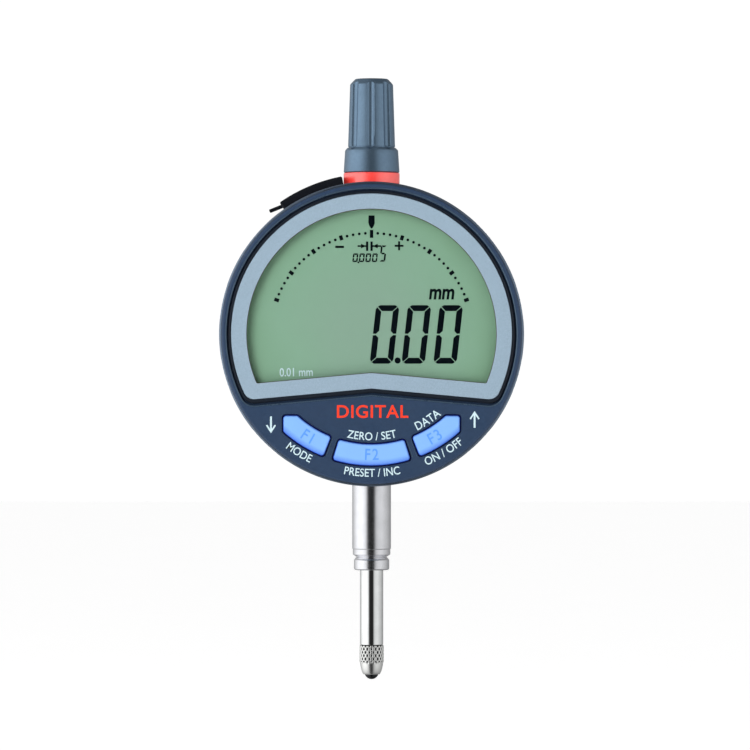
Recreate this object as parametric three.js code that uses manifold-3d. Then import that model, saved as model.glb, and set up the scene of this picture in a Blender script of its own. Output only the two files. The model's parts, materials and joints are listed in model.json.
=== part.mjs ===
// Digital dial indicator with a lug back, a turning display unit and a 12.7 mm spindle.
// Units are millimetres. +Z runs up the spindle, -Y is the display side, +X is the viewer's right.
// The origin is on the spindle axis, at the middle of the clamped stem.
import * as THREE from 'three';
import { mergeVertices } from 'three/addons/utils/BufferGeometryUtils.js';
import Module from 'manifold-3d';

const wasm = await Module();
wasm.setup();

// ---- Driving dimensions. Heights are counted from the centre of the round body. ----
const BODY_HEIGHT = 37.5;          // body centre above the origin
const DEG = Math.PI / 180;
const BIG_SIDES = 48;              // facets round a body-sized circle
const MID_SIDES = 24;
const SMALL_SIDES = 16;
const SWIVEL_SIDES = 32;
const CASE_SIDES = 60;

// Housing
const HOUSING_R = 30.2;
const HOUSING_WALL = 2.0;
const HOUSING_IN_R = HOUSING_R - HOUSING_WALL;
const HOUSING_FRONT_Y = -6.5;
const HOUSING_FLOOR_Y = -5.2;
const HOUSING_BACK_Y = 9.0;
const COVER_FRONT_Y = 9.4;
const COVER_BACK_Y = 11.4;
const COVER_SCREW_XZ = 18.6;
const BOARD_POSTS = [[-5.8, 13], [16.5, -11.5]];
const BATTERY_X = -18;
const BATTERY_R = 5.8;
const DOOR_HOLE_R = 7.35;

// Lug on the back
const LUG_HALF = 2.5;
const LUG_HOLE_Y = 15.8;
const LUG_HOLE_R = 3.25;
const LUG_TIP_R = 4.4;
const LUG_BASE_HALF = 8;
const LUG_PAD_R = 9.5;
const LUG_PAD_Y = 12.0;

// Stem and spindle
const STEM_R = 4.0;
const STEM_BORE_R = 2.9;
const STEM_FOOT_Z = -45.75;
const STEM_TOP_Z = -26.4;
const FLANGE_R = 4.9;
const BUSH_R = 2.87;
const BUSH_BORE_R = 2.46;
const SPINDLE_R = 2.4;
const SPINDLE_FOOT_Z = -63.9;
const SPINDLE_TOP_Z = 36.5;
const BALL_R = 1.5;
const BALL_Z = -69.55;
const HOLDER_FOOT_Z = -22;
const HOLDER_TOP_Z = -8;
const GUIDE_PIN_Z = -15;
const GUIDE_PIN_R = 1.0;

// Neck and cap
const NECK_R = 4.5;
const NECK_FLANGE_Z = 26.3;
const SPRING_SEAT_Z = 24.2;
const NECK_TOP_Z = 37.0;
const RING_FOOT_Z = 31.0;
const CAP_FOOT_Z = 33.3;
const CAP_TOP_Z = 52.6;
const CAP_FLUTES = 8;

// Data socket and its rubber cover
const SOCKET_ANGLE = 112.8;
const COVER_START = 100.6;
const COVER_END = 125;
const RUBBER_IN_R = 30.35;
const RUBBER_OUT_R = 32.95;

// Display unit
const CASE_R = 30.5;
const CASE_SEAT_R = 30.0;
const CASE_IN_R = 29.0;
const CASE_FRONT_Y = -15.5;
const CASE_FLOOR_Y = -12.9;
const CASE_BACK_Y = -6.9;
const GRIP_R = 31.0;
const GRIP_TOOTH = 0.28;
const GRIP_PATCH_ANGLES = [40, 12, -16, -45, 140, 168, 196, 225];
const GRIP_PATCH_HALF = 6.5;
const GRIP_TEETH = 8;
const POCKET_FLOOR_Y = -14.0;
const CHEVRON_SLOPE = 0.0917;      // fall of the window's lower edge on each side of the middle
const HUB_R = 7.4;
const HUB_BORE_R = 6.0;
const PLATE_FRONT_Y = -8.3;
const CASE_BOSSES = [[0, 27.8], [22.1, -14.4], [-22.1, -14.4]];
const STOP_TRACK_R = 13;
const STOP_BLOCK_HALF = 10.5;      // degrees each side, leaves 165 degrees of turn each way

// Keys
const KEY_IN_R = 22.4;
const KEY_OUT_R = 26.7;
const KEY_MID_HALF = 17.2;
const KEY_SIDE_START = 21.5;
const KEY_SIDE_X = 17.9;
const KEY_SIDE_Z = -16.6;
const KEY_FRONT_Y = -16.1;
const KEY_GAP = 0.35;

// ---- Finishes ----
const NAVY = { color: 0x2e3d52, roughness: 0.5, metalness: 0.1 };
const SILVER_PAINT = { color: 0x9eb5c6, roughness: 0.45, metalness: 0.3 };
const CAP_GREY = { color: 0x5a738c, roughness: 0.4, metalness: 0.2 };
const RED = { color: 0xff4e4a, roughness: 0.35, metalness: 0.0 };
const KEY_BLUE = { color: 0x8fc2ff, roughness: 0.4, metalness: 0.0 };
const RUBBER = { color: 0x16191f, roughness: 0.8, metalness: 0.0 };
const LCD_GREEN = { color: 0x86ab93, roughness: 0.2, metalness: 0.0 };
const CLEAR = { color: 0xdfe8ea, roughness: 0.05, metalness: 0.0, transparent: true, opacity: 0.3 };
const STEEL = { color: 0xc8cacc, roughness: 0.2, metalness: 1.0 };
const DARK_STEEL = { color: 0x4a4d50, roughness: 0.25, metalness: 1.0 };
const BRASS = { color: 0xb99a4a, roughness: 0.35, metalness: 1.0 };
const BOARD_GREEN = { color: 0x1f5a38, roughness: 0.5, metalness: 0.0 };
const BLACK_PLASTIC = { color: 0x191b1f, roughness: 0.5, metalness: 0.0 };
const WHITE_PLASTIC = { color: 0xd9dad6, roughness: 0.5, metalness: 0.0 };
const POLYIMIDE = { color: 0xb8752a, roughness: 0.4, metalness: 0.0 };

// ---- Solids ----
function signedVolume(position, index) {
  const a = new THREE.Vector3();
  const b = new THREE.Vector3();
  const c = new THREE.Vector3();
  let volume = 0;
  for (let i = 0; i < index.length; i += 3) {
    a.fromBufferAttribute(position, index[i]);
    b.fromBufferAttribute(position, index[i + 1]);
    c.fromBufferAttribute(position, index[i + 2]);
    volume += a.dot(b.cross(c)) / 6;
  }
  return volume;
}

// A closed geometry as a solid that can be joined and cut, with its faces pointing out.
function solid(geometry) {
  geometry.deleteAttribute('normal');
  geometry.deleteAttribute('uv');
  const merged = mergeVertices(geometry, 1e-5);
  const corners = merged.index.array;
  const index = [];
  for (let i = 0; i < corners.length; i += 3) {
    const [a, b, c] = [corners[i], corners[i + 1], corners[i + 2]];
    if (a !== b && b !== c && c !== a) index.push(a, b, c);
  }
  const position = merged.attributes.position;
  const triVerts = Uint32Array.from(index);
  if (signedVolume(position, index) < 0) triVerts.reverse();
  return new wasm.Manifold(new wasm.Mesh({
    numProp: 3, vertProperties: new Float32Array(position.array), triVerts,
  }));
}

function join(...solids) {
  return solids.reduce((all, next) => all.add(next));
}

function cut(body, ...tools) {
  return tools.reduce((left, tool) => left.subtract(tool), body);
}

function block(x0, x1, y0, y1, z0, z1) {
  const geometry = new THREE.BoxGeometry(x1 - x0, y1 - y0, z1 - z0);
  return solid(geometry.translate((x0 + x1) / 2, (y0 + y1) / 2, (z0 + z1) / 2));
}

function rodX(y, z, radius, x0, x1, sides = SMALL_SIDES) {
  const geometry = new THREE.CylinderGeometry(radius, radius, x1 - x0, sides).rotateZ(Math.PI / 2);
  return solid(geometry.translate((x0 + x1) / 2, y, z));
}

function rodY(x, z, radius, y0, y1, sides = SMALL_SIDES) {
  const geometry = new THREE.CylinderGeometry(radius, radius, y1 - y0, sides);
  return solid(geometry.translate(x, (y0 + y1) / 2, z));
}

function rodZ(x, y, radius, z0, z1, sides = SMALL_SIDES) {
  const geometry = new THREE.CylinderGeometry(radius, radius, z1 - z0, sides).rotateX(Math.PI / 2);
  return solid(geometry.translate(x, y, (z0 + z1) / 2));
}

function vectors(pairs) {
  return pairs.map(([a, b]) => new THREE.Vector2(a, b));
}

// Turned about the front-to-back axis: pairs of radius and y.
function turnedY(pairs, sides = BIG_SIDES) {
  return solid(new THREE.LatheGeometry(vectors(pairs), sides));
}

// Turned about the spindle axis: pairs of radius and z.
function turnedZ(pairs, sides = SMALL_SIDES) {
  return solid(new THREE.LatheGeometry(vectors(pairs), sides).rotateX(Math.PI / 2));
}

function tubeY(outer, inner, y0, y1, sides = BIG_SIDES) {
  return turnedY([[inner, y0], [outer, y0], [outer, y1], [inner, y1], [inner, y0]], sides);
}

function tubeZ(outer, inner, z0, z1, sides = SMALL_SIDES) {
  return turnedZ([[inner, z0], [outer, z0], [outer, z1], [inner, z1], [inner, z0]], sides);
}

// An outline in x and z, as a plate from y0 to y1.
function plate(outline, y0, y1) {
  const geometry = new THREE.ExtrudeGeometry(new THREE.Shape(outline), {
    depth: y1 - y0, bevelEnabled: false,
  });
  return solid(geometry.rotateX(Math.PI / 2).translate(0, y1, 0));
}

// Points on an arc between two angles in degrees, counted from +X towards +Z.
function polar(radius, degrees) {
  return new THREE.Vector2(radius * Math.cos(degrees * DEG), radius * Math.sin(degrees * DEG));
}

function arc(cx, cz, radius, from, to, step) {
  const count = Math.max(2, Math.ceil(Math.abs(to - from) / step));
  const points = [];
  for (let i = 0; i <= count; i += 1) {
    const angle = (from + (to - from) * i / count) * DEG;
    points.push(new THREE.Vector2(cx + radius * Math.cos(angle), cz + radius * Math.sin(angle)));
  }
  return points;
}

function sector(inner, outer, from, to, y0, y1) {
  const step = to - from > 180 ? 9 : 5;
  const outline = [...arc(0, 0, outer, from, to, step), ...arc(0, 0, inner, to, from, step)];
  return plate(outline, y0, y1);
}

// A block that points outwards from the body centre at an angle.
function spoke(angle, r0, r1, halfWidth, y0, y1) {
  const geometry = new THREE.BoxGeometry(r1 - r0, y1 - y0, 2 * halfWidth);
  geometry.translate((r0 + r1) / 2, (y0 + y1) / 2, 0);
  return solid(geometry.rotateY(-angle * DEG));
}

// The window's outline: a circle closed below by two edges that fall away from the middle.
function chevronOutline(radius, apexDrop, corner) {
  const length = Math.hypot(1, CHEVRON_SLOPE);
  const along = new THREE.Vector2(1 / length, -CHEVRON_SLOPE / length);
  const up = new THREE.Vector2(CHEVRON_SLOPE / length, 1 / length);
  const rise = corner - apexDrop / length;
  const reach = Math.sqrt((radius - corner) ** 2 - rise ** 2);
  const centre = along.clone().multiplyScalar(reach).addScaledVector(up, rise);
  const edgeAngle = Math.atan2(-up.y, -up.x) / DEG;
  const rimAngle = Math.atan2(centre.y, centre.x) / DEG;
  const right = arc(centre.x, centre.y, corner, edgeAngle, rimAngle, 25);
  const rim = arc(0, 0, radius, rimAngle, 180 - rimAngle, 7.5).slice(1, -1);
  const left = right.map((point) => new THREE.Vector2(-point.x, point.y)).reverse();
  return [new THREE.Vector2(0, -apexDrop), ...right, ...rim, ...left];
}

function chevronPlate(radius, apexDrop, corner, y0, y1) {
  return plate(chevronOutline(radius, apexDrop, corner), y0, y1);
}

// A slotted screw along Y with its head towards +Y.
function screw(x, z, headR, headY0, headY1, shankR, tipY) {
  const head = rodY(x, z, headR, headY0, headY1, 12);
  const shank = rodY(x, z, shankR, tipY, headY0 + 0.1, 8);
  const slot = block(x - headR, x + headR, headY1 - 0.25, headY1 + 1, z - 0.22, z + 0.22);
  return cut(join(head, shank), slot);
}

// ---- Scene graph ----
const indicator = new THREE.Group();
const body = new THREE.Group();
body.position.z = BODY_HEIGHT;
indicator.add(body);

function add(name, finish, shape) {
  const { vertProperties, triVerts } = shape.getMesh();
  const geometry = new THREE.BufferGeometry();
  geometry.setAttribute('position', new THREE.BufferAttribute(vertProperties, 3));
  geometry.setIndex(new THREE.BufferAttribute(triVerts, 1));
  geometry.computeVertexNormals();
  const mesh = new THREE.Mesh(geometry, new THREE.MeshStandardMaterial(finish));
  mesh.name = name;
  body.add(mesh);
}

// ---- Housing ----
function mainHousing() {
  let shell = turnedY([
    [0, HOUSING_FRONT_Y], [HOUSING_R - 0.5, HOUSING_FRONT_Y], [HOUSING_R, HOUSING_FRONT_Y + 0.5],
    [HOUSING_R, HOUSING_BACK_Y], [HOUSING_IN_R, HOUSING_BACK_Y], [HOUSING_IN_R, HOUSING_FLOOR_Y],
    [0, HOUSING_FLOOR_Y],
  ]);
  for (const x of [-COVER_SCREW_XZ, COVER_SCREW_XZ]) {
    for (const z of [-COVER_SCREW_XZ, COVER_SCREW_XZ]) {
      const boss = rodY(x, z, 2.2, HOUSING_FLOOR_Y - 0.2, HOUSING_BACK_Y, 12);
      shell = cut(join(shell, boss), rodY(x, z, 0.9, 2, HOUSING_BACK_Y + 1, 8));
    }
  }
  for (const [x, z] of BOARD_POSTS) {
    const post = rodY(x, z, 1.6, HOUSING_FLOOR_Y - 0.2, 6.4, 12);
    shell = cut(join(shell, post), rodY(x, z, 0.8, 3.3, 7, 8));
  }
  const batteryCup = rodY(BATTERY_X, 0, BATTERY_R + 1, HOUSING_FLOOR_Y - 0.2, 8, MID_SIDES);
  const batteryWell = rodY(BATTERY_X, 0, BATTERY_R + 0.15, 2.2, 9, MID_SIDES);
  const neckBoss = rodZ(0, 0, 5.6, HOUSING_IN_R + 0.8, RING_FOOT_Z - 0.1, MID_SIDES);
  const stemBoss = rodZ(0, 0, 5.2, -30.8, -HOUSING_IN_R - 0.8, MID_SIDES);
  shell = join(shell, batteryCup, neckBoss, stemBoss);
  return cut(
    shell, batteryWell,
    rodZ(0, 0, NECK_R + 0.1, HOUSING_IN_R - 1.5, RING_FOOT_Z + 1, MID_SIDES),
    rodZ(0, 0, STEM_R + 0.1, -32, -HOUSING_IN_R + 1.5, MID_SIDES),
    rodY(0, 0, HUB_R + 0.08, HOUSING_FRONT_Y - 1, HOUSING_FLOOR_Y + 1, SWIVEL_SIDES),
    rodY(0, -STOP_TRACK_R, 0.85, HOUSING_FRONT_Y - 1, HOUSING_FLOOR_Y - 0.4, 12),
    spoke(SOCKET_ANGLE, 26, 31, 5.7, -3.6, 3.6),
  );
}

function backCover() {
  const disc = turnedY([
    [0, COVER_FRONT_Y], [HOUSING_R, COVER_FRONT_Y], [HOUSING_R, COVER_BACK_Y - 0.8],
    [HOUSING_R - 0.8, COVER_BACK_Y], [0, COVER_BACK_Y],
  ]);
  const pad = rodY(0, 0, LUG_PAD_R, COVER_BACK_Y - 0.5, LUG_PAD_Y, MID_SIDES);
  const lugOutline = [
    new THREE.Vector2(COVER_BACK_Y - 0.5, -LUG_BASE_HALF),
    ...arc(LUG_HOLE_Y, 0, LUG_TIP_R, -62, 62, 12),
    new THREE.Vector2(COVER_BACK_Y - 0.5, LUG_BASE_HALF),
  ];
  const lugGeometry = new THREE.ExtrudeGeometry(new THREE.Shape(lugOutline), {
    depth: 2 * LUG_HALF, bevelEnabled: false,
  });
  const [x, y, z] = [new THREE.Vector3(1, 0, 0), new THREE.Vector3(0, 1, 0), new THREE.Vector3(0, 0, 1)];
  lugGeometry.applyMatrix4(new THREE.Matrix4().makeBasis(y, z, x)).translate(-LUG_HALF, 0, 0);
  let cover = join(disc, pad, solid(lugGeometry));
  cover = cut(
    cover,
    rodX(LUG_HOLE_Y, 0, LUG_HOLE_R, -LUG_HALF - 1, LUG_HALF + 1, 24),
    rodY(BATTERY_X, 0, DOOR_HOLE_R, COVER_FRONT_Y - 1, COVER_BACK_Y + 1, MID_SIDES),
  );
  for (const turn of [-60, 120]) {
    const notch = new THREE.BoxGeometry(2, 4, 3.4).translate(7.6, COVER_BACK_Y, 0).rotateY(-turn * DEG);
    cover = cut(cover, solid(notch.translate(BATTERY_X, -1, 0)));
  }
  for (const sx of [-COVER_SCREW_XZ, COVER_SCREW_XZ]) {
    for (const sz of [-COVER_SCREW_XZ, COVER_SCREW_XZ]) {
      const hole = rodY(sx, sz, 1.05, COVER_FRONT_Y - 1, COVER_BACK_Y, 8);
      cover = cut(cover, hole, rodY(sx, sz, 2.15, COVER_BACK_Y - 1.1, COVER_BACK_Y + 1, 12));
    }
  }
  return cover;
}

function buildHousing() {
  add('main_housing', NAVY, mainHousing());
  add('back_cover', NAVY, backCover());
  add('case_gasket', RUBBER, tubeY(29.9, 28.5, HOUSING_BACK_Y + 0.05, COVER_FRONT_Y - 0.05));
  let count = 0;
  for (const x of [-COVER_SCREW_XZ, COVER_SCREW_XZ]) {
    for (const z of [-COVER_SCREW_XZ, COVER_SCREW_XZ]) {
      count += 1;
      add(`cover_screw_${count}`, STEEL, screw(x, z, 1.95, 10.4, 11.3, 0.8, 3));
    }
  }
}

// ---- Stem, guides and neck ----
function buildStem() {
  add('stem', STEEL, turnedZ([
    [STEM_BORE_R, STEM_FOOT_Z], [3.2, STEM_FOOT_Z], [3.87, -45.3], [3.87, -44.15], [STEM_R, -44.0],
    [STEM_R, -27.3], [FLANGE_R, -27.3], [FLANGE_R, STEM_TOP_Z], [STEM_BORE_R, STEM_TOP_Z],
    [STEM_BORE_R, STEM_FOOT_Z],
  ], MID_SIDES));
  add('stem_lower_bush', BRASS, tubeZ(BUSH_R, BUSH_BORE_R, -44.8, -38));
  add('stem_upper_bush', BRASS, tubeZ(BUSH_R, BUSH_BORE_R, -34, -26.5));
  add('wiper_collar', STEEL, turnedZ([
    [2.47, -48.5], [3.35, -48.5], [3.65, -48.2], [3.65, -46.5], [3.2, -45.85], [2.85, -45.85],
    [2.85, -44.9], [2.47, -44.9], [2.47, -46.9], [3.1, -46.9], [3.1, -48.1], [2.47, -48.1],
    [2.47, -48.5],
  ]));
  add('dust_wiper', RUBBER, tubeZ(3.05, 2.45, -48.05, -46.95));
  add('stop_cushion', RUBBER, tubeZ(4.6, 2.6, -26.3, -25.4));
  add('cap_neck', STEEL, turnedZ([
    [STEM_BORE_R, SPRING_SEAT_Z], [3.6, SPRING_SEAT_Z], [3.6, NECK_FLANGE_Z], [FLANGE_R, NECK_FLANGE_Z],
    [FLANGE_R, NECK_FLANGE_Z + 1], [NECK_R, NECK_FLANGE_Z + 1], [NECK_R, NECK_TOP_Z],
    [STEM_BORE_R, NECK_TOP_Z], [STEM_BORE_R, SPRING_SEAT_Z],
  ], 24));
  add('neck_bush', BRASS, tubeZ(BUSH_R, BUSH_BORE_R, 28, 36.9));
  add('neck_ring', RED, tubeZ(5.77, NECK_R + 0.06, RING_FOOT_Z, CAP_FOOT_Z - 0.1, MID_SIDES));
}

// ---- Spindle and what rides on it ----
function helixSpring(radius, wireR, z0, z1, turns) {
  class Helix extends THREE.Curve {
    getPoint(t, target = new THREE.Vector3()) {
      const angle = 2 * Math.PI * turns * t;
      const height = z0 + wireR + (z1 - z0 - 2 * wireR) * t;
      return target.set(radius * Math.cos(angle), radius * Math.sin(angle), height);
    }
  }
  const section = new THREE.Shape(arc(0, 0, wireR, 0, 288, 72));
  return solid(new THREE.ExtrudeGeometry(section, {
    steps: turns * 9, extrudePath: new Helix(), bevelEnabled: false,
  }));
}

function buildSpindle() {
  add('spindle', STEEL, turnedZ([
    [0, -58], [1.05, -58], [1.05, SPINDLE_FOOT_Z], [2.2, SPINDLE_FOOT_Z], [SPINDLE_R, SPINDLE_FOOT_Z + 0.2],
    [SPINDLE_R, SPINDLE_TOP_Z - 0.3], [2.1, SPINDLE_TOP_Z], [0, SPINDLE_TOP_Z],
  ]));
  add('contact_point', STEEL, turnedZ([
    [0, -59], [1, -59], [1, -63.95], [2.4, -63.95], [2.55, -64.1], [2.55, -67.4], [2.35, -67.6],
    [2.25, -68.4], [2.05, -69.2], [1.75, -70], [BALL_R + 0.03, -70], [BALL_R + 0.03, -67.95],
    [0, -67.95],
  ]));
  add('contact_ball', DARK_STEEL, solid(new THREE.SphereGeometry(BALL_R, 14, 8).translate(0, 0, BALL_Z)));
  add('stop_collar', BRASS, tubeZ(4.0, SPINDLE_R + 0.05, -25.3, HOLDER_FOOT_Z - 0.3));
  add('scale_holder', WHITE_PLASTIC, cut(
    block(-4, 9.5, -3.6, 3.6, HOLDER_FOOT_Z, HOLDER_TOP_Z),
    rodZ(0, 0, SPINDLE_R + 0.05, HOLDER_FOOT_Z - 1, HOLDER_TOP_Z + 1),
    rodX(0, GUIDE_PIN_Z, GUIDE_PIN_R + 0.03, -5, 0, 12),
  ));
  add('linear_scale', CLEAR, block(4.6, 9, 3.7, 4.4, HOLDER_FOOT_Z, 4));
  add('guide_pin', DARK_STEEL, rodX(0, GUIDE_PIN_Z, GUIDE_PIN_R, -8.5, -2.6, 12));
  add('return_spring', STEEL, helixSpring(3.1, 0.32, HOLDER_TOP_Z + 0.1, SPRING_SEAT_Z - 0.1, 9));
}

// ---- Electronics in the housing ----
function buildElectronics() {
  add('rotation_guide', WHITE_PLASTIC, cut(
    join(block(-11, -5.5, -4.1, 2.2, -20, 4), block(-11, -5.5, -5, -4, -20, -10)),
    block(-10, -5, -GUIDE_PIN_R - 0.06, GUIDE_PIN_R + 0.06, -17.5, 0),
  ));
  let board = block(-7.2, 21, 6.5, 7.5, -15.5, 15.5);
  let count = 0;
  for (const [x, z] of BOARD_POSTS) {
    count += 1;
    board = cut(board, rodY(x, z, 0.85, 6, 8, 12));
    add(`board_screw_${count}`, STEEL, screw(x, z, 1.3, 7.55, 8.3, 0.7, 3.5));
  }
  add('main_board', BOARD_GREEN, board);
  add('signal_chip', BLACK_PLASTIC, block(11, 17, 5.4, 6.4, -3, 4));
  add('detector_head', BLACK_PLASTIC, block(3.8, 9.8, 4.7, 6.3, -8, 3));
  add('flex_cable', POLYIMIDE, join(
    block(-4.85, -4.6, -8.9, 6.4, 0.6, 3.4),
    block(-6.8, -4.6, 6.15, 6.4, 0.6, 3.4),
  ));
  add('data_socket', BLACK_PLASTIC, join(
    cut(spoke(SOCKET_ANGLE, 25, 29.5, 5.6, -3.5, 3.5), spoke(SOCKET_ANGLE, 26.5, 30, 4.5, -1.7, 1.7)),
    spoke(SOCKET_ANGLE, 26, 29, 3.6, -0.5, 0.5),
  ));
  add('battery', STEEL, join(
    rodY(BATTERY_X, 0, BATTERY_R - 1, 2.85, 4, 24),
    rodY(BATTERY_X, 0, BATTERY_R, 3.3, 8.1, 24),
  ));
  add('battery_contact', BRASS, block(BATTERY_X - 4, BATTERY_X + 4, 2.3, 2.7, -1.5, 1.5));
}

function buildBatteryCover() {
  const face = rodY(BATTERY_X, 0, DOOR_HOLE_R - 0.15, 10, 11.3, MID_SIDES);
  const neck = rodY(BATTERY_X, 0, 6.1, 8.3, 10.1, MID_SIDES);
  const coinSlot = block(BATTERY_X - 4.5, BATTERY_X + 4.5, 10.5, 12, -0.7, 0.7);
  let door = cut(join(face, neck), coinSlot);
  for (const side of [-1, 1]) {
    const near = BATTERY_X + side * 5.5;
    const far = BATTERY_X + side * 8.2;
    door = join(door, block(Math.min(near, far), Math.max(near, far), 8.35, 9, -1.4, 1.4));
  }
  add('battery_cover', NAVY, door);
  const sealOutline = [[6.2, 9.15], [7.2, 9.15], [7.2, 9.85], [6.2, 9.85], [6.2, 9.15]];
  const seal = new THREE.LatheGeometry(vectors(sealOutline), 32).translate(BATTERY_X, 0, 0);
  add('battery_seal', RUBBER, solid(seal));
}

// ---- Swivel between housing and display unit ----
function buildSwivel() {
  add('swivel_hub', STEEL, turnedY([
    [HUB_BORE_R, -9.2], [HUB_R, -9.2], [HUB_R, -8.97], [6.8, -8.97], [6.8, -8.38], [HUB_R, -8.38],
    [HUB_R, -5.1], [9, -5.1], [9, -4.3], [HUB_BORE_R, -4.3], [HUB_BORE_R, -9.2],
  ], SWIVEL_SIDES));
  const clipRing = tubeY(8.8, 6.85, -8.92, -8.43, SWIVEL_SIDES);
  add('swivel_clip', STEEL, cut(clipRing, block(-1.5, 1.5, -10, -8, -10, 0)));
  add('swivel_washer', STEEL, tubeY(11, HUB_R + 0.15, -6.82, -6.6, SWIVEL_SIDES));
  add('swivel_stop_pin', DARK_STEEL, rodY(0, -STOP_TRACK_R, 0.8, -7.6, -5.7, 12));
}

// ---- Cap and connector cover ----
function buildCap() {
  let cap = turnedZ([
    [4.6, CAP_FOOT_Z], [5.75, CAP_FOOT_Z], [5.45, 37.9], [4.9, 38.6], [4.45, 51.5],
    [3.4, CAP_TOP_Z], [0, CAP_TOP_Z], [0, 51], [3, 51], [3, 37.4], [4.6, 37.4], [4.6, CAP_FOOT_Z],
  ], 32);
  for (let i = 0; i < CAP_FLUTES; i += 1) {
    const angle = (i + 0.5) * 360 / CAP_FLUTES - 90 + 22.5;
    const flute = new THREE.CylinderGeometry(0.95, 0.95, 15, 8).rotateX(Math.PI / 2);
    flute.rotateY(-0.03).translate(5.22, 0, 46.4).rotateZ(angle * DEG);
    cap = cut(cap, solid(flute));
  }
  add('spindle_cap', CAP_GREY, cap);

  const lip = sector(RUBBER_IN_R, RUBBER_OUT_R, COVER_START, COVER_END, -5.6, 5.6);
  const plug = spoke(SOCKET_ANGLE, 29.65, 31, 5, -3, 3);
  const tab = new THREE.BoxGeometry(3.1, 5, 0.6).translate(-1.25, 0, 0).rotateY(-22 * DEG);
  const root = polar(32.2, COVER_END);
  add('connector_cover', RUBBER, join(lip, plug, solid(tab.translate(root.x, 0, root.y))));
}

// ---- Display unit ----
// The three keys share one ring: the middle one, and one to each side with a squared outer end.
function keyBlank(side, grow, y0, y1) {
  const inner = KEY_IN_R - grow;
  const outer = KEY_OUT_R + grow;
  const spread = grow / ((KEY_IN_R + KEY_OUT_R) / 2) / DEG;
  if (side === 0) {
    const half = KEY_MID_HALF + spread;
    return sector(inner, outer, -90 - half, -90 + half, y0, y1);
  }
  const near = -90 + side * (KEY_SIDE_START - spread);
  const far = -90 + side * 60;
  const arm = sector(inner, outer, Math.min(near, far), Math.max(near, far), y0, y1);
  const endX = KEY_SIDE_X + grow;
  return arm.intersect(block(-endX, endX, y0 - 1, y1 + 1, -40, KEY_SIDE_Z + grow));
}

function displayCase() {
  let shell = turnedY([
    [0, CASE_FRONT_Y], [CASE_R - 0.4, CASE_FRONT_Y], [CASE_R, CASE_FRONT_Y + 0.4], [CASE_R, -14.1],
    [CASE_SEAT_R, -14.1], [CASE_SEAT_R, CASE_BACK_Y], [CASE_IN_R, CASE_BACK_Y],
    [CASE_IN_R, CASE_FLOOR_Y], [0, CASE_FLOOR_Y],
  ], CASE_SIDES);
  for (const [x, z] of CASE_BOSSES) {
    const boss = rodY(x, z, 1.5, CASE_FLOOR_Y - 0.2, PLATE_FRONT_Y - 0.1, 12);
    shell = cut(join(shell, boss), rodY(x, z, 0.8, -11.6, PLATE_FRONT_Y + 1, 8));
  }
  shell = cut(
    shell,
    chevronPlate(29.45, 12.4, 2.9, CASE_FRONT_Y - 1, POCKET_FLOOR_Y),
    chevronPlate(27, 9.6, 1.4, POCKET_FLOOR_Y - 1, CASE_FLOOR_Y + 1),
  );
  for (const side of [-1, 0, 1]) {
    shell = cut(shell, keyBlank(side, KEY_GAP, CASE_FRONT_Y - 1, CASE_FLOOR_Y + 0.5));
  }
  for (const side of [-1, 1]) {
    const from = -90 + side * (KEY_MID_HALF - 1);
    const to = -90 + side * (KEY_SIDE_START + 1);
    const rib = sector(22.3, 26.8, Math.min(from, to), Math.max(from, to), CASE_FRONT_Y - 1, -15.05);
    shell = cut(shell, rib);
  }
  return shell;
}

function gripRing() {
  const toothStep = 2 * GRIP_PATCH_HALF / GRIP_TEETH;
  const outline = [];
  const angles = [...GRIP_PATCH_ANGLES].map((angle) => (angle + 360) % 360).sort((a, b) => a - b);
  angles.forEach((centre, i) => {
    const next = i + 1 < angles.length ? angles[i + 1] : angles[0] + 360;
    const start = centre - GRIP_PATCH_HALF;
    for (let tooth = 0; tooth < GRIP_TEETH; tooth += 1) {
      outline.push(polar(GRIP_R, start + tooth * toothStep));
      outline.push(polar(GRIP_R - GRIP_TOOTH, start + (tooth + 0.5) * toothStep));
    }
    outline.push(...arc(0, 0, GRIP_R, centre + GRIP_PATCH_HALF, next - GRIP_PATCH_HALF, 5).slice(0, -1));
  });
  const blank = plate(outline, -13.95, -7);
  return cut(blank, rodY(0, 0, CASE_SEAT_R + 0.05, -20, 0, CASE_SIDES));
}

function displayBackPlate() {
  const gap = STOP_BLOCK_HALF;
  let disc = cut(
    tubeY(28.9, HUB_R + 0.08, PLATE_FRONT_Y, CASE_BACK_Y, SWIVEL_SIDES),
    sector(STOP_TRACK_R - 1.1, STOP_TRACK_R + 1.1, 90 + gap, 450 - gap, -7.8, CASE_BACK_Y + 1),
  );
  for (const [x, z] of CASE_BOSSES) {
    disc = cut(
      disc, rodY(x, z, 0.9, -9, CASE_BACK_Y + 1, 8),
      rodY(x, z, 1.3, -7.6, CASE_BACK_Y + 1, 12),
    );
  }
  return disc;
}

function displayBoard() {
  let board = rodY(0, 0, 28.2, -10.4, -9.6, BIG_SIDES);
  for (const [x, z] of CASE_BOSSES) board = cut(board, rodY(x, z, 1.8, -11, -9, 12));
  return board;
}

function keyMat() {
  let mat = sector(21, 28, -140, -40, -10.95, -10.5);
  for (const angle of [-123, -90, -57]) {
    const top = polar(24.5, angle);
    const dome = new THREE.CylinderGeometry(2.2, 1.6, 0.6, 12).translate(top.x, -11.2, top.y);
    mat = join(mat, solid(dome));
  }
  return mat;
}

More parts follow.
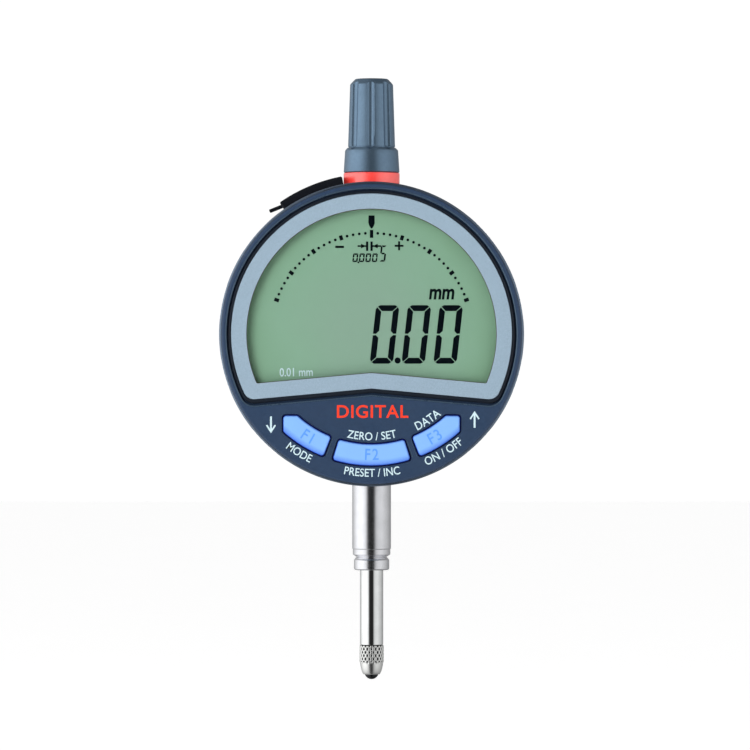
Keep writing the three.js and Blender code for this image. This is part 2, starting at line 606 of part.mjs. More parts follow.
function buildDisplay() {
  add('display_case', NAVY, displayCase());
  add('grip_ring', NAVY, gripRing());
  add('window_mask', SILVER_PAINT, cut(
    chevronPlate(28.5, 11.1, 2.2, -15.1, POCKET_FLOOR_Y - 0.05),
    chevronPlate(25.4, 7.93, 0.4, -16, POCKET_FLOOR_Y + 1),
  ));
  add('window_lens', CLEAR, chevronPlate(26.9, 9.5, 1.3, POCKET_FLOOR_Y, CASE_FLOOR_Y - 0.05));
  add('lcd_glass', LCD_GREEN, chevronPlate(26.2, 8.8, 0.8, -12.85, -11.75));
  add('lcd_tray', WHITE_PLASTIC, cut(
    chevronPlate(26, 8.7, 0.8, -11.7, -10.5),
    block(-9.1, 9.1, -13, -9, 19.9, 21.6),
    block(-20.1, 20.1, -13, -9, -7, -5.3),
  ));
  add('zebra_strip_upper', RUBBER, block(-9, 9, -11.7, -10.45, 20, 21.5));
  add('zebra_strip_lower', RUBBER, block(-20, 20, -11.7, -10.45, -6.9, -5.4));
  add('display_board', BOARD_GREEN, displayBoard());
  add('key_mat', WHITE_PLASTIC, keyMat());
  add('display_back_plate', BLACK_PLASTIC, displayBackPlate());
  CASE_BOSSES.forEach(([x, z], i) => {
    add(`display_screw_${i + 1}`, STEEL, screw(x, z, 1.15, -7.5, -6.95, 0.7, -11.4));
  });
  [-1, 0, 1].forEach((side, i) => {
    const cap = keyBlank(side, 0, KEY_FRONT_Y, -12.2);
    add(`key_${i + 1}`, KEY_BLUE, join(cap, keyBlank(side, 0.7, -12.7, -12.1)));
  });
}

buildHousing();
buildStem();
buildSpindle();
buildElectronics();
buildBatteryCover();
buildSwivel();
buildCap();
buildDisplay();

export default indicator;
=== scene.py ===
"""Looks for the digital dial indicator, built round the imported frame. Lengths are in millimetres from the
centre of the round body (x right, y back, z up) until a mesh is made, and in metres after that."""
import json
import math

import bmesh
import bpy
from mathutils import Matrix, Vector
from mathutils.geometry import tessellate_polygon


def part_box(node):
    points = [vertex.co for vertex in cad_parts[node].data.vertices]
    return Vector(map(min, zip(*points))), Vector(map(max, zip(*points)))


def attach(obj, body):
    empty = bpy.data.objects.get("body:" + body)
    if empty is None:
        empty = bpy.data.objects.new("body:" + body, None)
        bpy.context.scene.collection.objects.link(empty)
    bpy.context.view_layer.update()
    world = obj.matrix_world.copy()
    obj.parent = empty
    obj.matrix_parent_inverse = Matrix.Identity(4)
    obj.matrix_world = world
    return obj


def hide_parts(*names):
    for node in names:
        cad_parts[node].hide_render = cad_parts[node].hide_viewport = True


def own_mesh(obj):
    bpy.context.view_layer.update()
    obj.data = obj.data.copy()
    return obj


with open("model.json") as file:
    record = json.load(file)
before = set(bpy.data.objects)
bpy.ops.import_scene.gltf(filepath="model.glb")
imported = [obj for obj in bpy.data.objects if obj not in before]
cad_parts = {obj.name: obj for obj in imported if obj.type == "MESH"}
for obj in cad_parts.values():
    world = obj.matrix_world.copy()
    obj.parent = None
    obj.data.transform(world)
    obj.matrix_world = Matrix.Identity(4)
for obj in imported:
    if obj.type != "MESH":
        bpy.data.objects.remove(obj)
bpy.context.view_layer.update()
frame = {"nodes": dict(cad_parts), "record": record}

MM = 0.001
TAU = 2 * math.pi


class Span:
    """A CAD node's box, in millimetres from the body centre."""

    def __init__(self, node):
        low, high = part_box(node)
        self.x0, self.y0, self.z0 = low[0] / MM, low[1] / MM, low[2] / MM - CENTRE_Z
        self.x1, self.y1, self.z1 = high[0] / MM, high[1] / MM, high[2] / MM - CENTRE_Z
        self.r = (self.x1 - self.x0) / 2


ring_low, ring_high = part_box("grip_ring")
CENTRE_Z = (ring_low[2] + ring_high[2]) / 2 / MM
CASE, GRIP, MASK = Span("display_case"), Span("grip_ring"), Span("window_mask")
LENS, LCD, HOUSING = Span("window_lens"), Span("lcd_glass"), Span("main_housing")
REAR, STEM, COLLAR = Span("back_cover"), Span("stem"), Span("wiper_collar")
SPINDLE, BALL, DOOR = Span("spindle"), Span("contact_ball"), Span("battery_cover")
CAP, RING, RUBBER, KEY = Span("spindle_cap"), Span("neck_ring"), Span("connector_cover"), Span("key_2")

# The window's outlines, each as (radius, drop of its lower edge, corner radius).
CHEVRON_SLOPE = 0.0917
POCKET = (29.72, 12.67, 3.17)
FRAME_SKIRT = (29.15, 11.95, 2.7)
FRAME = (28.5, 11.1, 2.2)
PANE = (26.9, 9.5, 1.3)
GLASS_PANEL = (26.2, 8.8, 0.8)
OPENING = (25.4, 7.93, 0.4)

POCKET_FLOOR = MASK.y1 + 0.05
DISC_SIDES = 240

# Keys: inner and outer radius, half the middle key's angle, and where each side key starts.
KEY_IN, KEY_OUT, KEY_HALF, KEY_SIDE = 22.4, 26.7, 17.2, 21.5
KEY_END_X, KEY_TOP_Z, KEY_CORNER, KEY_GAP = 17.9, -16.6, 0.6, 0.3
KEY_FRONT = KEY.y0 + 0.03

# Grip ring: the middle of each knurled patch, in degrees.
GRIP_PATCHES = (12, 40, 140, 168, 196, 225, 315, 344)
PATCH_HALF, PATCH_TEETH, PATCH_SAMPLES, PATCH_ROWS = 6.5, 6, 12, 50
PATCH_PITCH, PATCH_DEPTH = 1.3, 0.32

# Contact point and ball.
CONTACT_TOP = -63.97
KNURL_BOTTOM = CONTACT_TOP - 3.45
KNURL_R, KNURL_DEPTH, KNURL_STARTS, KNURL_PITCH = 2.52, 0.24, 18, 1.36
BALL_R = 1.5

DOOR_X = (DOOR.x0 + DOOR.x1) / 2
SCREW_XZ = 18.6
MARK_Y, PRINT_Y, INK = LCD.y0, CASE.y0, 0.02


# ---------- outlines ----------
def polar(radius, degrees, cx=0.0, cz=0.0):
    a = math.radians(degrees)
    return (cx + radius * math.cos(a), cz + radius * math.sin(a))


def arc(cx, cz, radius, start, end, count):
    return [polar(radius, start + (end - start) * i / count, cx, cz) for i in range(count + 1)]


def circle(radius, count=128, cx=0.0, cz=0.0):
    return arc(cx, cz, radius, 0, 360, count)[:-1]


def quad(x0, x1, z0, z1):
    return [(x0, z0), (x1, z0), (x1, z1), (x0, z1)]


def turned_loop(loop, degrees, x=0.0, z=0.0):
    a = math.radians(degrees)
    across, up = math.cos(a), math.sin(a)
    return [(x + px * across - pz * up, z + px * up + pz * across) for px, pz in loop]


def mirrored(loop, across=1, up=1):
    """A loop mirrored left to right or top to bottom, which still turns the same way."""
    turned = [(across * x, up * z) for x, z in loop]
    return turned if across * up > 0 else turned[::-1]


def soften(corners, steps=5):
    """A closed outline from (x, z, corner radius) triples, with each corner rounded by its radius."""
    points = []
    for i, (x, z, radius) in enumerate(corners):
        here = Vector((x, z))
        if radius <= 0:
            points.append((x, z))
            continue
        before = (Vector(corners[i - 1][:2]) - here).normalized()
        after = (Vector(corners[(i + 1) % len(corners)][:2]) - here).normalized()
        half = before.angle(after) / 2
        middle = here + (before + after).normalized() * radius / math.sin(half)
        first = here + before * radius / math.tan(half) - middle
        last = here + after * radius / math.tan(half) - middle
        turn = first.angle_signed(last)
        for k in range(steps + 1):
            spoke = Matrix.Rotation(-turn * k / steps, 2) @ first
            points.append(tuple(middle + spoke))
    return points


def chevron(radius, drop, corner, rim_steps=110, corner_steps=8):
    """The window's outline: a circle closed below by two edges that fall away from the middle."""
    length = math.hypot(1, CHEVRON_SLOPE)
    along, up = Vector((1, -CHEVRON_SLOPE)) / length, Vector((CHEVRON_SLOPE, 1)) / length
    rise = corner - drop / length
    centre = along * math.sqrt((radius - corner) ** 2 - rise ** 2) + up * rise
    rim = math.degrees(math.atan2(centre.y, centre.x))
    lean = math.degrees(math.atan(CHEVRON_SLOPE))
    right = arc(centre.x, centre.y, corner, -90 - lean, rim, corner_steps)
    top = arc(0, 0, radius, rim, 180 - rim, rim_steps)[1:-1]
    left = [(-x, z) for x, z in reversed(right)]
    return [(0, -drop)] + right + top + left


def window(shape, grow=0.0):
    """One of the window's outlines, moved outwards by grow."""
    return chevron(*(value + grow for value in shape))


def shifted(loop, distance):
    """A closed outline moved outwards by a small distance, point for point."""
    area = sum(a[0] * b[1] - b[0] * a[1] for a, b in zip(loop, loop[1:] + loop[:1]))
    sign = 1 if area > 0 else -1
    moved = []
    for i, point in enumerate(loop):
        before = Vector(point) - Vector(loop[i - 1])
        after = Vector(loop[(i + 1) % len(loop)]) - Vector(point)
        normal_a = Vector((before.y, -before.x)).normalized()
        normal_b = Vector((after.y, -after.x)).normalized()
        normal = (normal_a + normal_b).normalized()
        reach = distance / max(0.5, normal.dot(normal_a))
        moved.append(tuple(Vector(point) + normal * reach * sign))
    return moved


# ---------- meshes ----------
def tidy(mesh):
    work = bmesh.new()
    work.from_mesh(mesh)
    bmesh.ops.remove_doubles(work, verts=work.verts, dist=1e-8)
    bmesh.ops.dissolve_degenerate(work, edges=work.edges, dist=1e-9)
    bmesh.ops.recalc_face_normals(work, faces=work.faces)
    work.to_mesh(mesh)
    work.free()


def ring_row(radius, z, sides):
    return [(radius * math.cos(TAU * s / sides), radius * math.sin(TAU * s / sides), z) for s in range(sides)]


def band(row_a, row_b, count):
    """The faces between two rings of count points, given the number of each ring's first point."""
    for i in range(count):
        j = (i + 1) % count
        yield (row_a + i, row_a + j, row_b + j, row_b + i)


class Builder:
    """Collects closed shells and makes one object of them."""

    def __init__(self):
        self.verts, self.faces = [], []

    def add(self, verts, faces):
        start = len(self.verts)
        self.verts.extend(verts)
        self.faces.extend([tuple(start + i for i in face) for face in faces])
        return self

    def plate(self, outer, y0, y1, edge=0.15, holes=(), hole_edge=None, axis="y", steps=4):
        """A plate with rounded edges, from an outline in x and z and any holes in it."""
        hole_edge = edge if hole_edge is None else hole_edge
        loops = [(outer, -edge, edge)] + [(hole, hole_edge, hole_edge) for hole in holes]
        levels = [k / steps * math.pi / 2 for k in range(steps + 1)]
        place = {"y": lambda p, y: (p[0], y, p[1]), "x": lambda p, y: (y, p[0], p[1])}[axis]
        across = {"y": 0, "x": 1}[axis]
        verts, faces, caps = [], [], ([], [])
        for loop, inset, radius in loops:
            count, first = len(loop), len(verts)
            curve = [(radius * (1 - math.cos(a)), inset * (1 - math.sin(a))) for a in levels]
            rings = [(y0 + rise, offset) for rise, offset in curve]
            rings += [(y1 - rise, offset) for rise, offset in reversed(curve)]
            for y, offset in rings:
                verts.extend(place(p, y) for p in shifted(loop, offset))
            for k in range(len(rings) - 1):
                faces.extend(band(first + k * count, first + (k + 1) * count, count))
            last = first + (len(rings) - 1) * count
            caps[0].append(range(first, first + count))
            caps[1].append(range(last, last + count))
        for cap in caps:
            flat = [[Vector((verts[i][across], verts[i][2], 0)) for i in ring] for ring in cap]
            index = [i for ring in cap for i in ring]
            faces.extend(tuple(index[k] for k in triangle) for triangle in tessellate_polygon(flat))
        return self.add(verts, faces)

    def lathe(self, profile, axis="z", sides=128, cx=0.0):
        """A closed profile of (radius, height) turned about z, or about the y axis through (cx, 0)."""
        verts, faces = [], []
        count = len(profile)
        for s in range(sides):
            a = TAU * s / sides
            for r, h in profile:
                if axis == "z":
                    verts.append((r * math.cos(a), r * math.sin(a), h))
                else:
                    verts.append((cx + r * math.cos(a), h, r * math.sin(a)))
        for s in range(sides):
            t = (s + 1) % sides
            for i in range(count):
                j = (i + 1) % count
                on_axis = profile[i][0] == 0 and profile[j][0] == 0
                if not on_axis:
                    faces.append((s * count + i, t * count + i, t * count + j, s * count + j))
        return self.add(verts, faces)

    def skin(self, rows, closed=False):
        """A skin through rings of equal length, joined last to first if closed, or else capped."""
        count, total = len(rows[0]), len(rows)
        verts = [v for row in rows for v in row]
        faces = []
        for k in range(total if closed else total - 1):
            faces.extend(band(k * count, (k + 1) % total * count, count))
        if not closed:
            last = (total - 1) * count
            faces.append(tuple(range(count)))
            faces.append(tuple(range(last, last + count)))
        return self.add(verts, faces)

    def make(self, name, body, slot, material, replaces=(), sharp=32.0, weighted=True):
        mesh = bpy.data.meshes.new(name)
        mesh.from_pydata([(x * MM, y * MM, (z + CENTRE_Z) * MM) for x, y, z in self.verts], [], self.faces)
        tidy(mesh)
        piece = bpy.data.objects.new(name, mesh)
        bpy.context.collection.objects.link(piece)
        mesh.shade_smooth()
        mesh.set_sharp_from_angle(angle=math.radians(sharp))
        if weighted:
            piece.modifiers.new("even_normals", "WEIGHTED_NORMAL").keep_sharp = True
        mesh.materials.append(material)
        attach(piece, body)
        if replaces:
            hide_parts(*replaces)
        return piece


# ---------- materials ----------
def linear(r, g, b):
    def channel(v):
        v = v / 255
        return v / 12.92 if v <= 0.04045 else ((v + 0.055) / 1.055) ** 2.4
    return (channel(r), channel(g), channel(b), 1.0)


class Wiring:
    """Adds nodes to a tree, with each input given as a value or as another node's output."""

    def __init__(self, tree):
        self.tree = tree

    def put(self, node, inputs):
        for key, value in inputs.items():
            if isinstance(value, bpy.types.NodeSocket):
                self.tree.links.new(value, node.inputs[key])
            else:
                node.inputs[key].default_value = value
        return node

    def node(self, kind, inputs=None, **settings):
        made = self.tree.nodes.new("ShaderNode" + kind)
        for key, value in settings.items():
            setattr(made, key, value)
        return self.put(made, inputs or {})

    def sum(self, operation, *values, kind="Math"):
        """The result of a math node, or of a vector math node, on up to three values."""
        made = self.node(kind, operation=operation)
        return self.put(made, dict(enumerate(values))).outputs["Value" if operation == "LENGTH" else 0]

    def span(self, value, low, high, from_low=0.3, from_high=0.7):
        """A value mapped from one range to another, and held within it."""
        inputs = {"Value": value, "From Min": from_low, "From Max": from_high, "To Min": low, "To Max": high}
        return self.node("MapRange", inputs).outputs["Result"]

    def part(self, vector, axis):
        return self.node("SeparateXYZ", {0: vector}).outputs[axis]


class Look(Wiring):
    """A principled material with procedural colour, roughness and bump."""

    def __init__(self, name, colour, roughness, metallic=0.0, **sockets):
        self.material = bpy.data.materials.new(name)
        self.material.use_nodes = True
        super().__init__(self.material.node_tree)
        self.shader = self.tree.nodes["Principled BSDF"]
        self.colour = colour
        self.put(self.shader, {"Base Color": colour, "Roughness": roughness, "Metallic": metallic})
        self.put(self.shader, {key.replace("_", " "): value for key, value in sockets.items()})
        self.place = self.node("TexCoord").outputs["Object"]

    def noise(self, grain_mm, detail=3.0, stretch=(1, 1, 1)):
        mapping = self.node("Mapping", {"Vector": self.place, "Scale": stretch})
        inputs = {"Vector": mapping.outputs[0], "Scale": 1 / (grain_mm * MM), "Detail": detail}
        return self.node("TexNoise", inputs).outputs["Fac"]

    def distance(self, centre, kept=(1, 1, 1)):
        """Distance from a point in millimetres, measured only along the axes that kept marks with 1."""
        place = tuple(value * MM for value in centre)
        offset = self.sum("SUBTRACT", self.place, place, kind="VectorMath")
        masked = self.sum("MULTIPLY", offset, kept, kind="VectorMath")
        return self.sum("LENGTH", masked, kind="VectorMath")

    def tint(self, value, dark, light, middle=None, middle_at=0.5):
        """Colour that runs between two tints, or through a third, as the value runs from 0 to 1."""
        ramp = self.node("ValToRGB", {"Fac": value})
        ramp.color_ramp.elements[0].color = dark
        ramp.color_ramp.elements[1].color = light
        if middle:
            ramp.color_ramp.elements.new(middle_at).color = middle
        self.put(self.shader, {"Base Color": ramp.outputs["Color"]})
        return self

    def vary(self, value, amount):
        dark = [channel * (1 - amount) for channel in self.colour[:3]] + [1]
        light = [min(1, channel * (1 + amount)) for channel in self.colour[:3]] + [1]
        return self.tint(self.span(value, 0, 1), dark, light)

    def rough(self, value, low, high):
        self.put(self.shader, {"Roughness": self.span(value, low, high)})
        return self

    def bump(self, value, depth_mm):
        bump = self.node("Bump", {"Strength": 1.0, "Distance": depth_mm * MM, "Height": value})
        self.put(self.shader, {"Normal": bump.outputs["Normal"]})
        return self


def plastic(name, colour, roughness, grain=0.25, depth=0.004, amount=0.06, shine=0.35, metallic=0.0):
    look = Look(name, colour, roughness, metallic, Specular_IOR_Level=shine)
    fine = look.noise(grain)
    look.vary(look.noise(grain * 3), amount).rough(look.noise(4.0), roughness - 0.06, roughness + 0.06)
    return look.bump(fine, depth).material


def red_enamel(name):
    """Bright red plastic under a clear coat, with a little light of its own so that its shadows stay red."""
    look = Look(name, linear(255, 66, 58), 0.34, Specular_IOR_Level=1.0, Emission_Strength=0.3,
                Emission_Color=(1, 0.05, 0.04, 1), Coat_Weight=1.0, Coat_Roughness=0.3, Coat_IOR=1.9)
    look.vary(look.noise(0.9), 0.03).rough(look.noise(4.0), 0.28, 0.4)
    return look.bump(look.noise(0.3), 0.002).material


def turned_steel(name, colour, roughness, groove=0.05, depth=0.0006, stretch=(0.02, 0.02, 1), amount=0.05):
    look = Look(name, colour, roughness, 1.0)
    lines = look.noise(groove, 2.0, stretch)
    look.vary(look.noise(2.5), amount).rough(lines, roughness * 0.8, roughness * 1.25)
    return look.bump(lines, depth).material


def knurled_steel(name):
    """Satin steel, with painted shade in whatever lies below the crest of the knurl: a dark grey there, light
    on the crests and the nose.
    """
    look = Look(name, linear(228, 230, 228), 0.3, 1.0)
    radius, height = look.distance((0, 0, 0), (1, 1, 0)), look.part(look.place, "Z")
    nose_from, nose_to = (CENTRE_Z + KNURL_BOTTOM + 0.07) * MM, (CENTRE_Z + KNURL_BOTTOM - 0.08) * MM
    on_nose = look.span(height, 0, 1, nose_from, nose_to)
    on_crest = look.span(radius, 0, 1, (KNURL_R - 0.15) * MM, (KNURL_R - 0.08) * MM)
    bright = look.sum("MAXIMUM", on_nose, on_crest)
    # painted shade: the knurl's hollows are coloured dark grey, its crests and the nose light
    look.tint(bright, linear(40, 44, 48), linear(232, 233, 231))
    return look.bump(look.noise(0.12), 0.0006).material


def window_paint(name):
    look = Look(name, linear(150, 172, 189), 0.42, 0.15)
    look.vary(look.noise(0.16, 1.5), 0.09).rough(look.noise(3.0), 0.38, 0.5)
    return look.bump(look.noise(0.2), 0.003).material


def lcd_green(name):
    """Grey-green liquid crystal glass, greener and darker towards its rim as painted shade under the frame's
    edge, with a cloudy change.
    """
    look = Look(name, linear(134, 171, 147), 0.35, Specular_IOR_Level=0.1)
    radius = look.distance((0, LCD.y0, CENTRE_Z + 1.5))
    wobbled = look.sum("MULTIPLY_ADD", look.noise(9.0, 1.0), 6 * MM, radius)
    # painted shade: the colour darkens from the middle of the panel towards its rim
    rim_shade = look.span(wobbled, 0, 1, 8 * MM, 29 * MM)
    look.tint(rim_shade, linear(135, 166, 147), linear(124, 162, 134), linear(132, 169, 145), 0.6)
    return look.bump(look.noise(0.3), 0.0008).material


def key_blue(name):
    """Light blue key with painted shade: a deeper blue along its lower edge and where it turns away from the
    front.
    """
    look = Look(name, linear(126, 174, 240), 0.38, Specular_IOR_Level=0.3)
    normal = look.node("NewGeometry").outputs["Normal"]
    # painted shade: deeper blue where the surface turns from the front and along the key's lower edge
    facing_shade_mask = look.span(look.part(normal, "Y"), 1, 0, -0.98, -0.25)
    radius = look.distance((0, 0, CENTRE_Z), (1, 0, 1))
    edge_shade_mask = look.span(radius, 1, 0.35, (KEY_OUT - 1.2) * MM, (KEY_OUT - 0.1) * MM)
    look.tint(look.sum("MULTIPLY", facing_shade_mask, edge_shade_mask), linear(36, 88, 205), linear(128, 176, 240))
    look.rough(look.noise(3.0), 0.34, 0.44)
    return look.bump(look.noise(0.3), 0.002).material


def clear_window(name):
    """A clear window: what is behind shows through, with a weak reflection on top."""
    material = bpy.data.materials.new(name)
    material.use_nodes = True
    wiring = Wiring(material.node_tree)
    wiring.tree.nodes.clear()
    through = wiring.node("BsdfTransparent", {"Color": (1, 1, 1, 1)})
    gloss = wiring.node("BsdfGlossy", {"Roughness": 0.03})
    edge = wiring.node("Fresnel", {"IOR": 1.15})
    mix = wiring.node("MixShader", {0: edge.outputs[0], 1: through.outputs[0], 2: gloss.outputs[0]})
    wiring.node("OutputMaterial", {"Surface": mix.outputs[0]})
    return material


NAVY = plastic("navy_plastic", linear(42, 61, 87), 0.42, 0.22, 0.003)
# painted highlight: a lighter satin navy for the thin line round the window pocket and the rims between the
# keys
EDGE_HIGHLIGHT = plastic("window_edge_painted_highlight", linear(78, 100, 122), 0.3, 0.2, 0.002, 0.06, 0.6, 0.5)
NAVY_BODY = plastic("navy_body_paint", linear(40, 55, 77), 0.42, 0.3, 0.004)
SILVER = window_paint("window_frame_paint")
CAP_PAINT = plastic("cap_satin", linear(112, 137, 160), 0.36, 0.2, 0.003, 0.05, 0.6, 0.85)
RED = red_enamel("red_ring")
BLUE = key_blue("key_blue")
BLACK_RUBBER = plastic("black_rubber", linear(16, 19, 26), 0.6, 0.18, 0.01, 0.12, 0.25)
LCD_LOOK = lcd_green("lcd_green")
LCD_INK = plastic("lcd_mark", linear(6, 14, 20), 0.5, 0.4, 0.0005, 0.05, 0.05)
EDGE_BROWN = plastic("mask_edge", linear(70, 60, 44), 0.6, 0.2, 0.001)
LABEL = plastic("label_print", linear(196, 220, 226), 0.55, 0.15, 0.001, 0.04)
WORD_RED = plastic("word_print", linear(240, 58, 30), 0.5, 0.15, 0.001, 0.04)
LEGEND = plastic("legend_print", linear(88, 148, 246), 0.5, 0.15, 0.001, 0.04)
GLASS = clear_window("clear_window")
STEM_STEEL = turned_steel("stem_steel", linear(230, 231, 235), 0.21)
SPINDLE_STEEL = turned_steel("spindle_steel", linear(238, 240, 240), 0.07, 0.04, 0.0001)
KNURL_STEEL = knurled_steel("knurl_steel")
CARBIDE = turned_steel("carbide_ball", linear(70, 72, 74), 0.12, 0.05, 0.0002)
SCREW_STEEL = turned_steel("screw_steel", linear(170, 172, 176), 0.28, 0.1, 0.0008, (1, 0.05, 1))
GRIP_SATIN = plastic("grip_ring_satin", linear(120, 136, 156), 0.32, 0.15, 0.002, 0.06, 0.6, 0.9)
SKIRT = plastic("frame_skirt", linear(22, 29, 40), 0.36, 0.2, 0.002, 0.06, 0.6)
# painted shade: a dark deep blue for the key skirts, which show only through the gaps round the keys
GAP_SHADE_BLUE = plastic("key_skirt_painted_shade", linear(14, 24, 120), 0.5, 0.3, 0.002)


# ---------- display unit ----------
def key_outline(side, grow=0.0, corner=KEY_CORNER):
    """One key's outline. The middle key is an arc, and each side key has a squared outer end."""
    inner, outer = KEY_IN - grow, KEY_OUT + grow
    turn = math.degrees(grow / ((KEY_IN + KEY_OUT) / 2))
    count = 14 if side == 0 else 8
    if side == 0:
        half = KEY_HALF + turn
        low = arc(0, 0, outer, -90 - half, -90 + half, count)
        high = arc(0, 0, inner, -90 + half, -90 - half, count)
        ends = (0, count, count + 1, 2 * count + 1)
    else:
        end_x, top = KEY_END_X + grow, KEY_TOP_Z + grow
        near = -90 + (KEY_SIDE - turn)
        far_out = -math.degrees(math.acos(end_x / outer))
        far_in = math.degrees(math.asin(top / inner))
        low = arc(0, 0, outer, near, far_out, count) + [(end_x, top)]
        high = arc(0, 0, inner, far_in, near, count)
        ends = (0, count, count + 1, count + 2, 2 * count + 2)
    corners = [(x, z, corner if i in ends else 0) for i, (x, z) in enumerate(low + high)]
    if side < 0:
        corners = [(-x, z, r) for x, z, r in reversed(corners)]
    return soften(corners)


def build_case():
    key_holes = [key_outline(side, KEY_GAP, 0.8) for side in (-1, 0, 1)]
    room_y, wall_in, wall_out = -12.9, 29.0, 30.0
    case = Builder()
    front_holes = [window(POCKET)] + key_holes
    case.plate(circle(CASE.r, DISC_SIDES), CASE.y0, POCKET_FLOOR + 0.2, 0.45, front_holes, 0.06)
    back_holes = [window(PANE, 0.1)] + key_holes
    case.plate(circle(CASE.r - 0.5, DISC_SIDES), POCKET_FLOOR, room_y, 0.05, back_holes)
    wall_y = room_y - 0.3
    wall = [(wall_in, wall_y, 0), (wall_out, wall_y, 0), (wall_out, CASE.y1, 0.2), (wall_in, CASE.y1, 0.2)]
    case.lathe(soften(wall), "y", DISC_SIDES)
    case.make("display_case_shell", "display_unit", "navy_body", NAVY, ["display_case"])


def build_panel_lines():
    """A lighter, shinier line round the pocket and thin strips on the rims of the slots between the keys:
    painted highlights, lighter than the navy around them.
    """
    line = Builder()
    line.plate(window(POCKET, -0.01), CASE.y0 + 0.05, POCKET_FLOOR, 0.02, [window(POCKET, -0.27)], 0.16)
    line.make("window_edge_highlight_line", "display_unit", "navy_body", EDGE_HIGHLIGHT)
    rims = Builder()
    for side in (-1, 1):
        out_x, out_z = polar(1, -90 + side * (KEY_HALF + KEY_SIDE) / 2)
        for offset, half in ((-0.45, 0.09), (0.45, 0.05)):
            strip = quad(KEY_IN + 0.3, KEY_OUT - 0.3, offset - half, offset + half)
            outline = [(r * out_x - across * out_z, r * out_z + across * out_x) for r, across in strip]
            rims.plate(outline, CASE.y0 - INK, CASE.y0 + 0.1, 0.015)
    rims.make("key_gap_highlight_rims", "display_unit", "navy_body", EDGE_HIGHLIGHT, weighted=False)


def angle_between(degrees, centre):
    return abs((degrees - centre + 180) % 360 - 180)


def grip_angles():
    """Angles round the grip ring: close together in each knurled patch and wide apart between patches."""
    angles = []
    samples = PATCH_TEETH * PATCH_SAMPLES
    for centre, following in zip(GRIP_PATCHES, GRIP_PATCHES[1:] + (GRIP_PATCHES[0] + 360,)):
        angles += [centre - PATCH_HALF + 2 * PATCH_HALF * k / samples for k in range(samples)]
        start, stop = centre + PATCH_HALF, following - PATCH_HALF
        gap = max(4, int((stop - start) / 1.5))
        angles += [start + (stop - start) * k / gap for k in range(gap)]
    return angles


def knurl_cut(degrees, y):
    """How deep the crossed grooves of a patch go at one place on the grip ring."""
    off = min(angle_between(degrees, centre) for centre in GRIP_PATCHES)
    if off >= PATCH_HALF - 0.01:
        return 0.0
    u, v = (degrees % 360) / (2 * PATCH_HALF / PATCH_TEETH), y / PATCH_PITCH
    crests = [abs(((u + lean * v) % 1) - 0.5) * 2 for lean in (1, -1)]
    return PATCH_DEPTH * (1 - min(crests)) ** 1.5 * min(1, (PATCH_HALF - off) / 0.4)


def build_grip():
    """The turning ring: smooth, with short knurled patches cut into it."""
    bore, shoulder, lip, edge = 30.1, 30.8, 0.25, 0.45
    first, last = GRIP.y0 + edge, GRIP.y1 - edge
    rows = [(bore, GRIP.y0 + 0.05, False), (30.55, GRIP.y0, False), (shoulder, GRIP.y0 + 0.07, False),
            (GRIP.r - 0.04, GRIP.y0 + lip, False)]
    rows += [(GRIP.r, first + (last - first) * k / PATCH_ROWS, True) for k in range(PATCH_ROWS + 1)]
    rows += [(GRIP.r - 0.04, GRIP.y1 - lip, False), (shoulder, GRIP.y1 - 0.05, False), (bore, GRIP.y1, False)]
    rings = []
    for radius, y, cut in rows:
        ring = []
        for degrees in grip_angles():
            x, z = polar(radius - (knurl_cut(degrees, y - first) if cut else 0.0), degrees)
            ring.append((x, y, z))
        rings.append(ring)
    grip = Builder().skin(rings, closed=True)
    grip.make("grip_ring_knurled", "display_unit", "navy_body", GRIP_SATIN, ["grip_ring"], 60, False)


def build_window():
    mask = Builder().plate(window(FRAME), MASK.y0, MASK.y1, 0.14, [window(OPENING)], 0.05)
    mask.make("window_frame", "display_unit", "window_frame", SILVER, ["window_mask"])
    skirt = Builder()
    skirt.plate(window(FRAME_SKIRT), MASK.y0 + 0.22, MASK.y1, 0.3, [window(FRAME, 0.05)], 0.02)
    skirt.make("window_frame_skirt", "display_unit", "navy_body", SKIRT)
    edge = Builder()
    edge.plate(window(OPENING, 0.02), MASK.y0 + 0.12, LENS.y0 - 0.02, 0.02, [window(OPENING, -0.1)])
    edge.make("window_frame_edge", "display_unit", "navy_body", EDGE_BROWN)
    lens = Builder().plate(window(PANE), LENS.y0, LENS.y1, 0.05)
    lens.make("clear_window_pane", "display_unit", "clear_window", GLASS, ["window_lens"])
    glass = Builder().plate(window(GLASS_PANEL), LCD.y0, LCD.y1, 0.08)
    glass.make("lcd_panel", "display_unit", "lcd_green", LCD_LOOK, ["lcd_glass"])


# ---------- printed and displayed marks ----------
DIGITS = {"0": "abcdef", "5": "acdfg"}
SLANT = 6.4
SCALE_R, SCALE_REACH, SCALE_DIVISIONS = 20.5, 70.3, 40
LETTER_CAPITAL = 0.72


def mark(builder, loop, y=MARK_Y):
    """A thin raised mark on a front surface at y."""
    builder.plate(loop, y - INK, y - 0.001, 0.002, steps=1)


def segments(width, height, stroke, gap, corner):
    """The seven bars of one digit with mitred ends, centred on the origin."""
    w, h, s, g = width / 2, height / 2, stroke, gap / 2
    cut_x, cut_z = 0.35 * corner, h - 0.4 * corner
    top = [(-w + g + corner, h), (w - g - corner, h), (w - g - cut_x, cut_z),
           (w - s - g, h - s), (-w + s + g, h - s), (-w + g + cut_x, cut_z)]
    right = [(w - cut_x, cut_z - g), (w, h - corner - g), (w, g * 1.5),
             (w - s / 2, g), (w - s, s / 2 + g), (w - s, h - s - g)]
    middle = [(-w + s / 2 + g, 0), (-w + s + g, s / 2), (w - s - g, s / 2),
              (w - s / 2 - g, 0), (w - s - g, -s / 2), (-w + s + g, -s / 2)]
    return {
        "a": top, "d": mirrored(top, 1, -1), "g": middle, "b": right, "c": mirrored(right, 1, -1),
        "f": mirrored(right, -1, 1), "e": mirrored(right, -1, -1),
    }


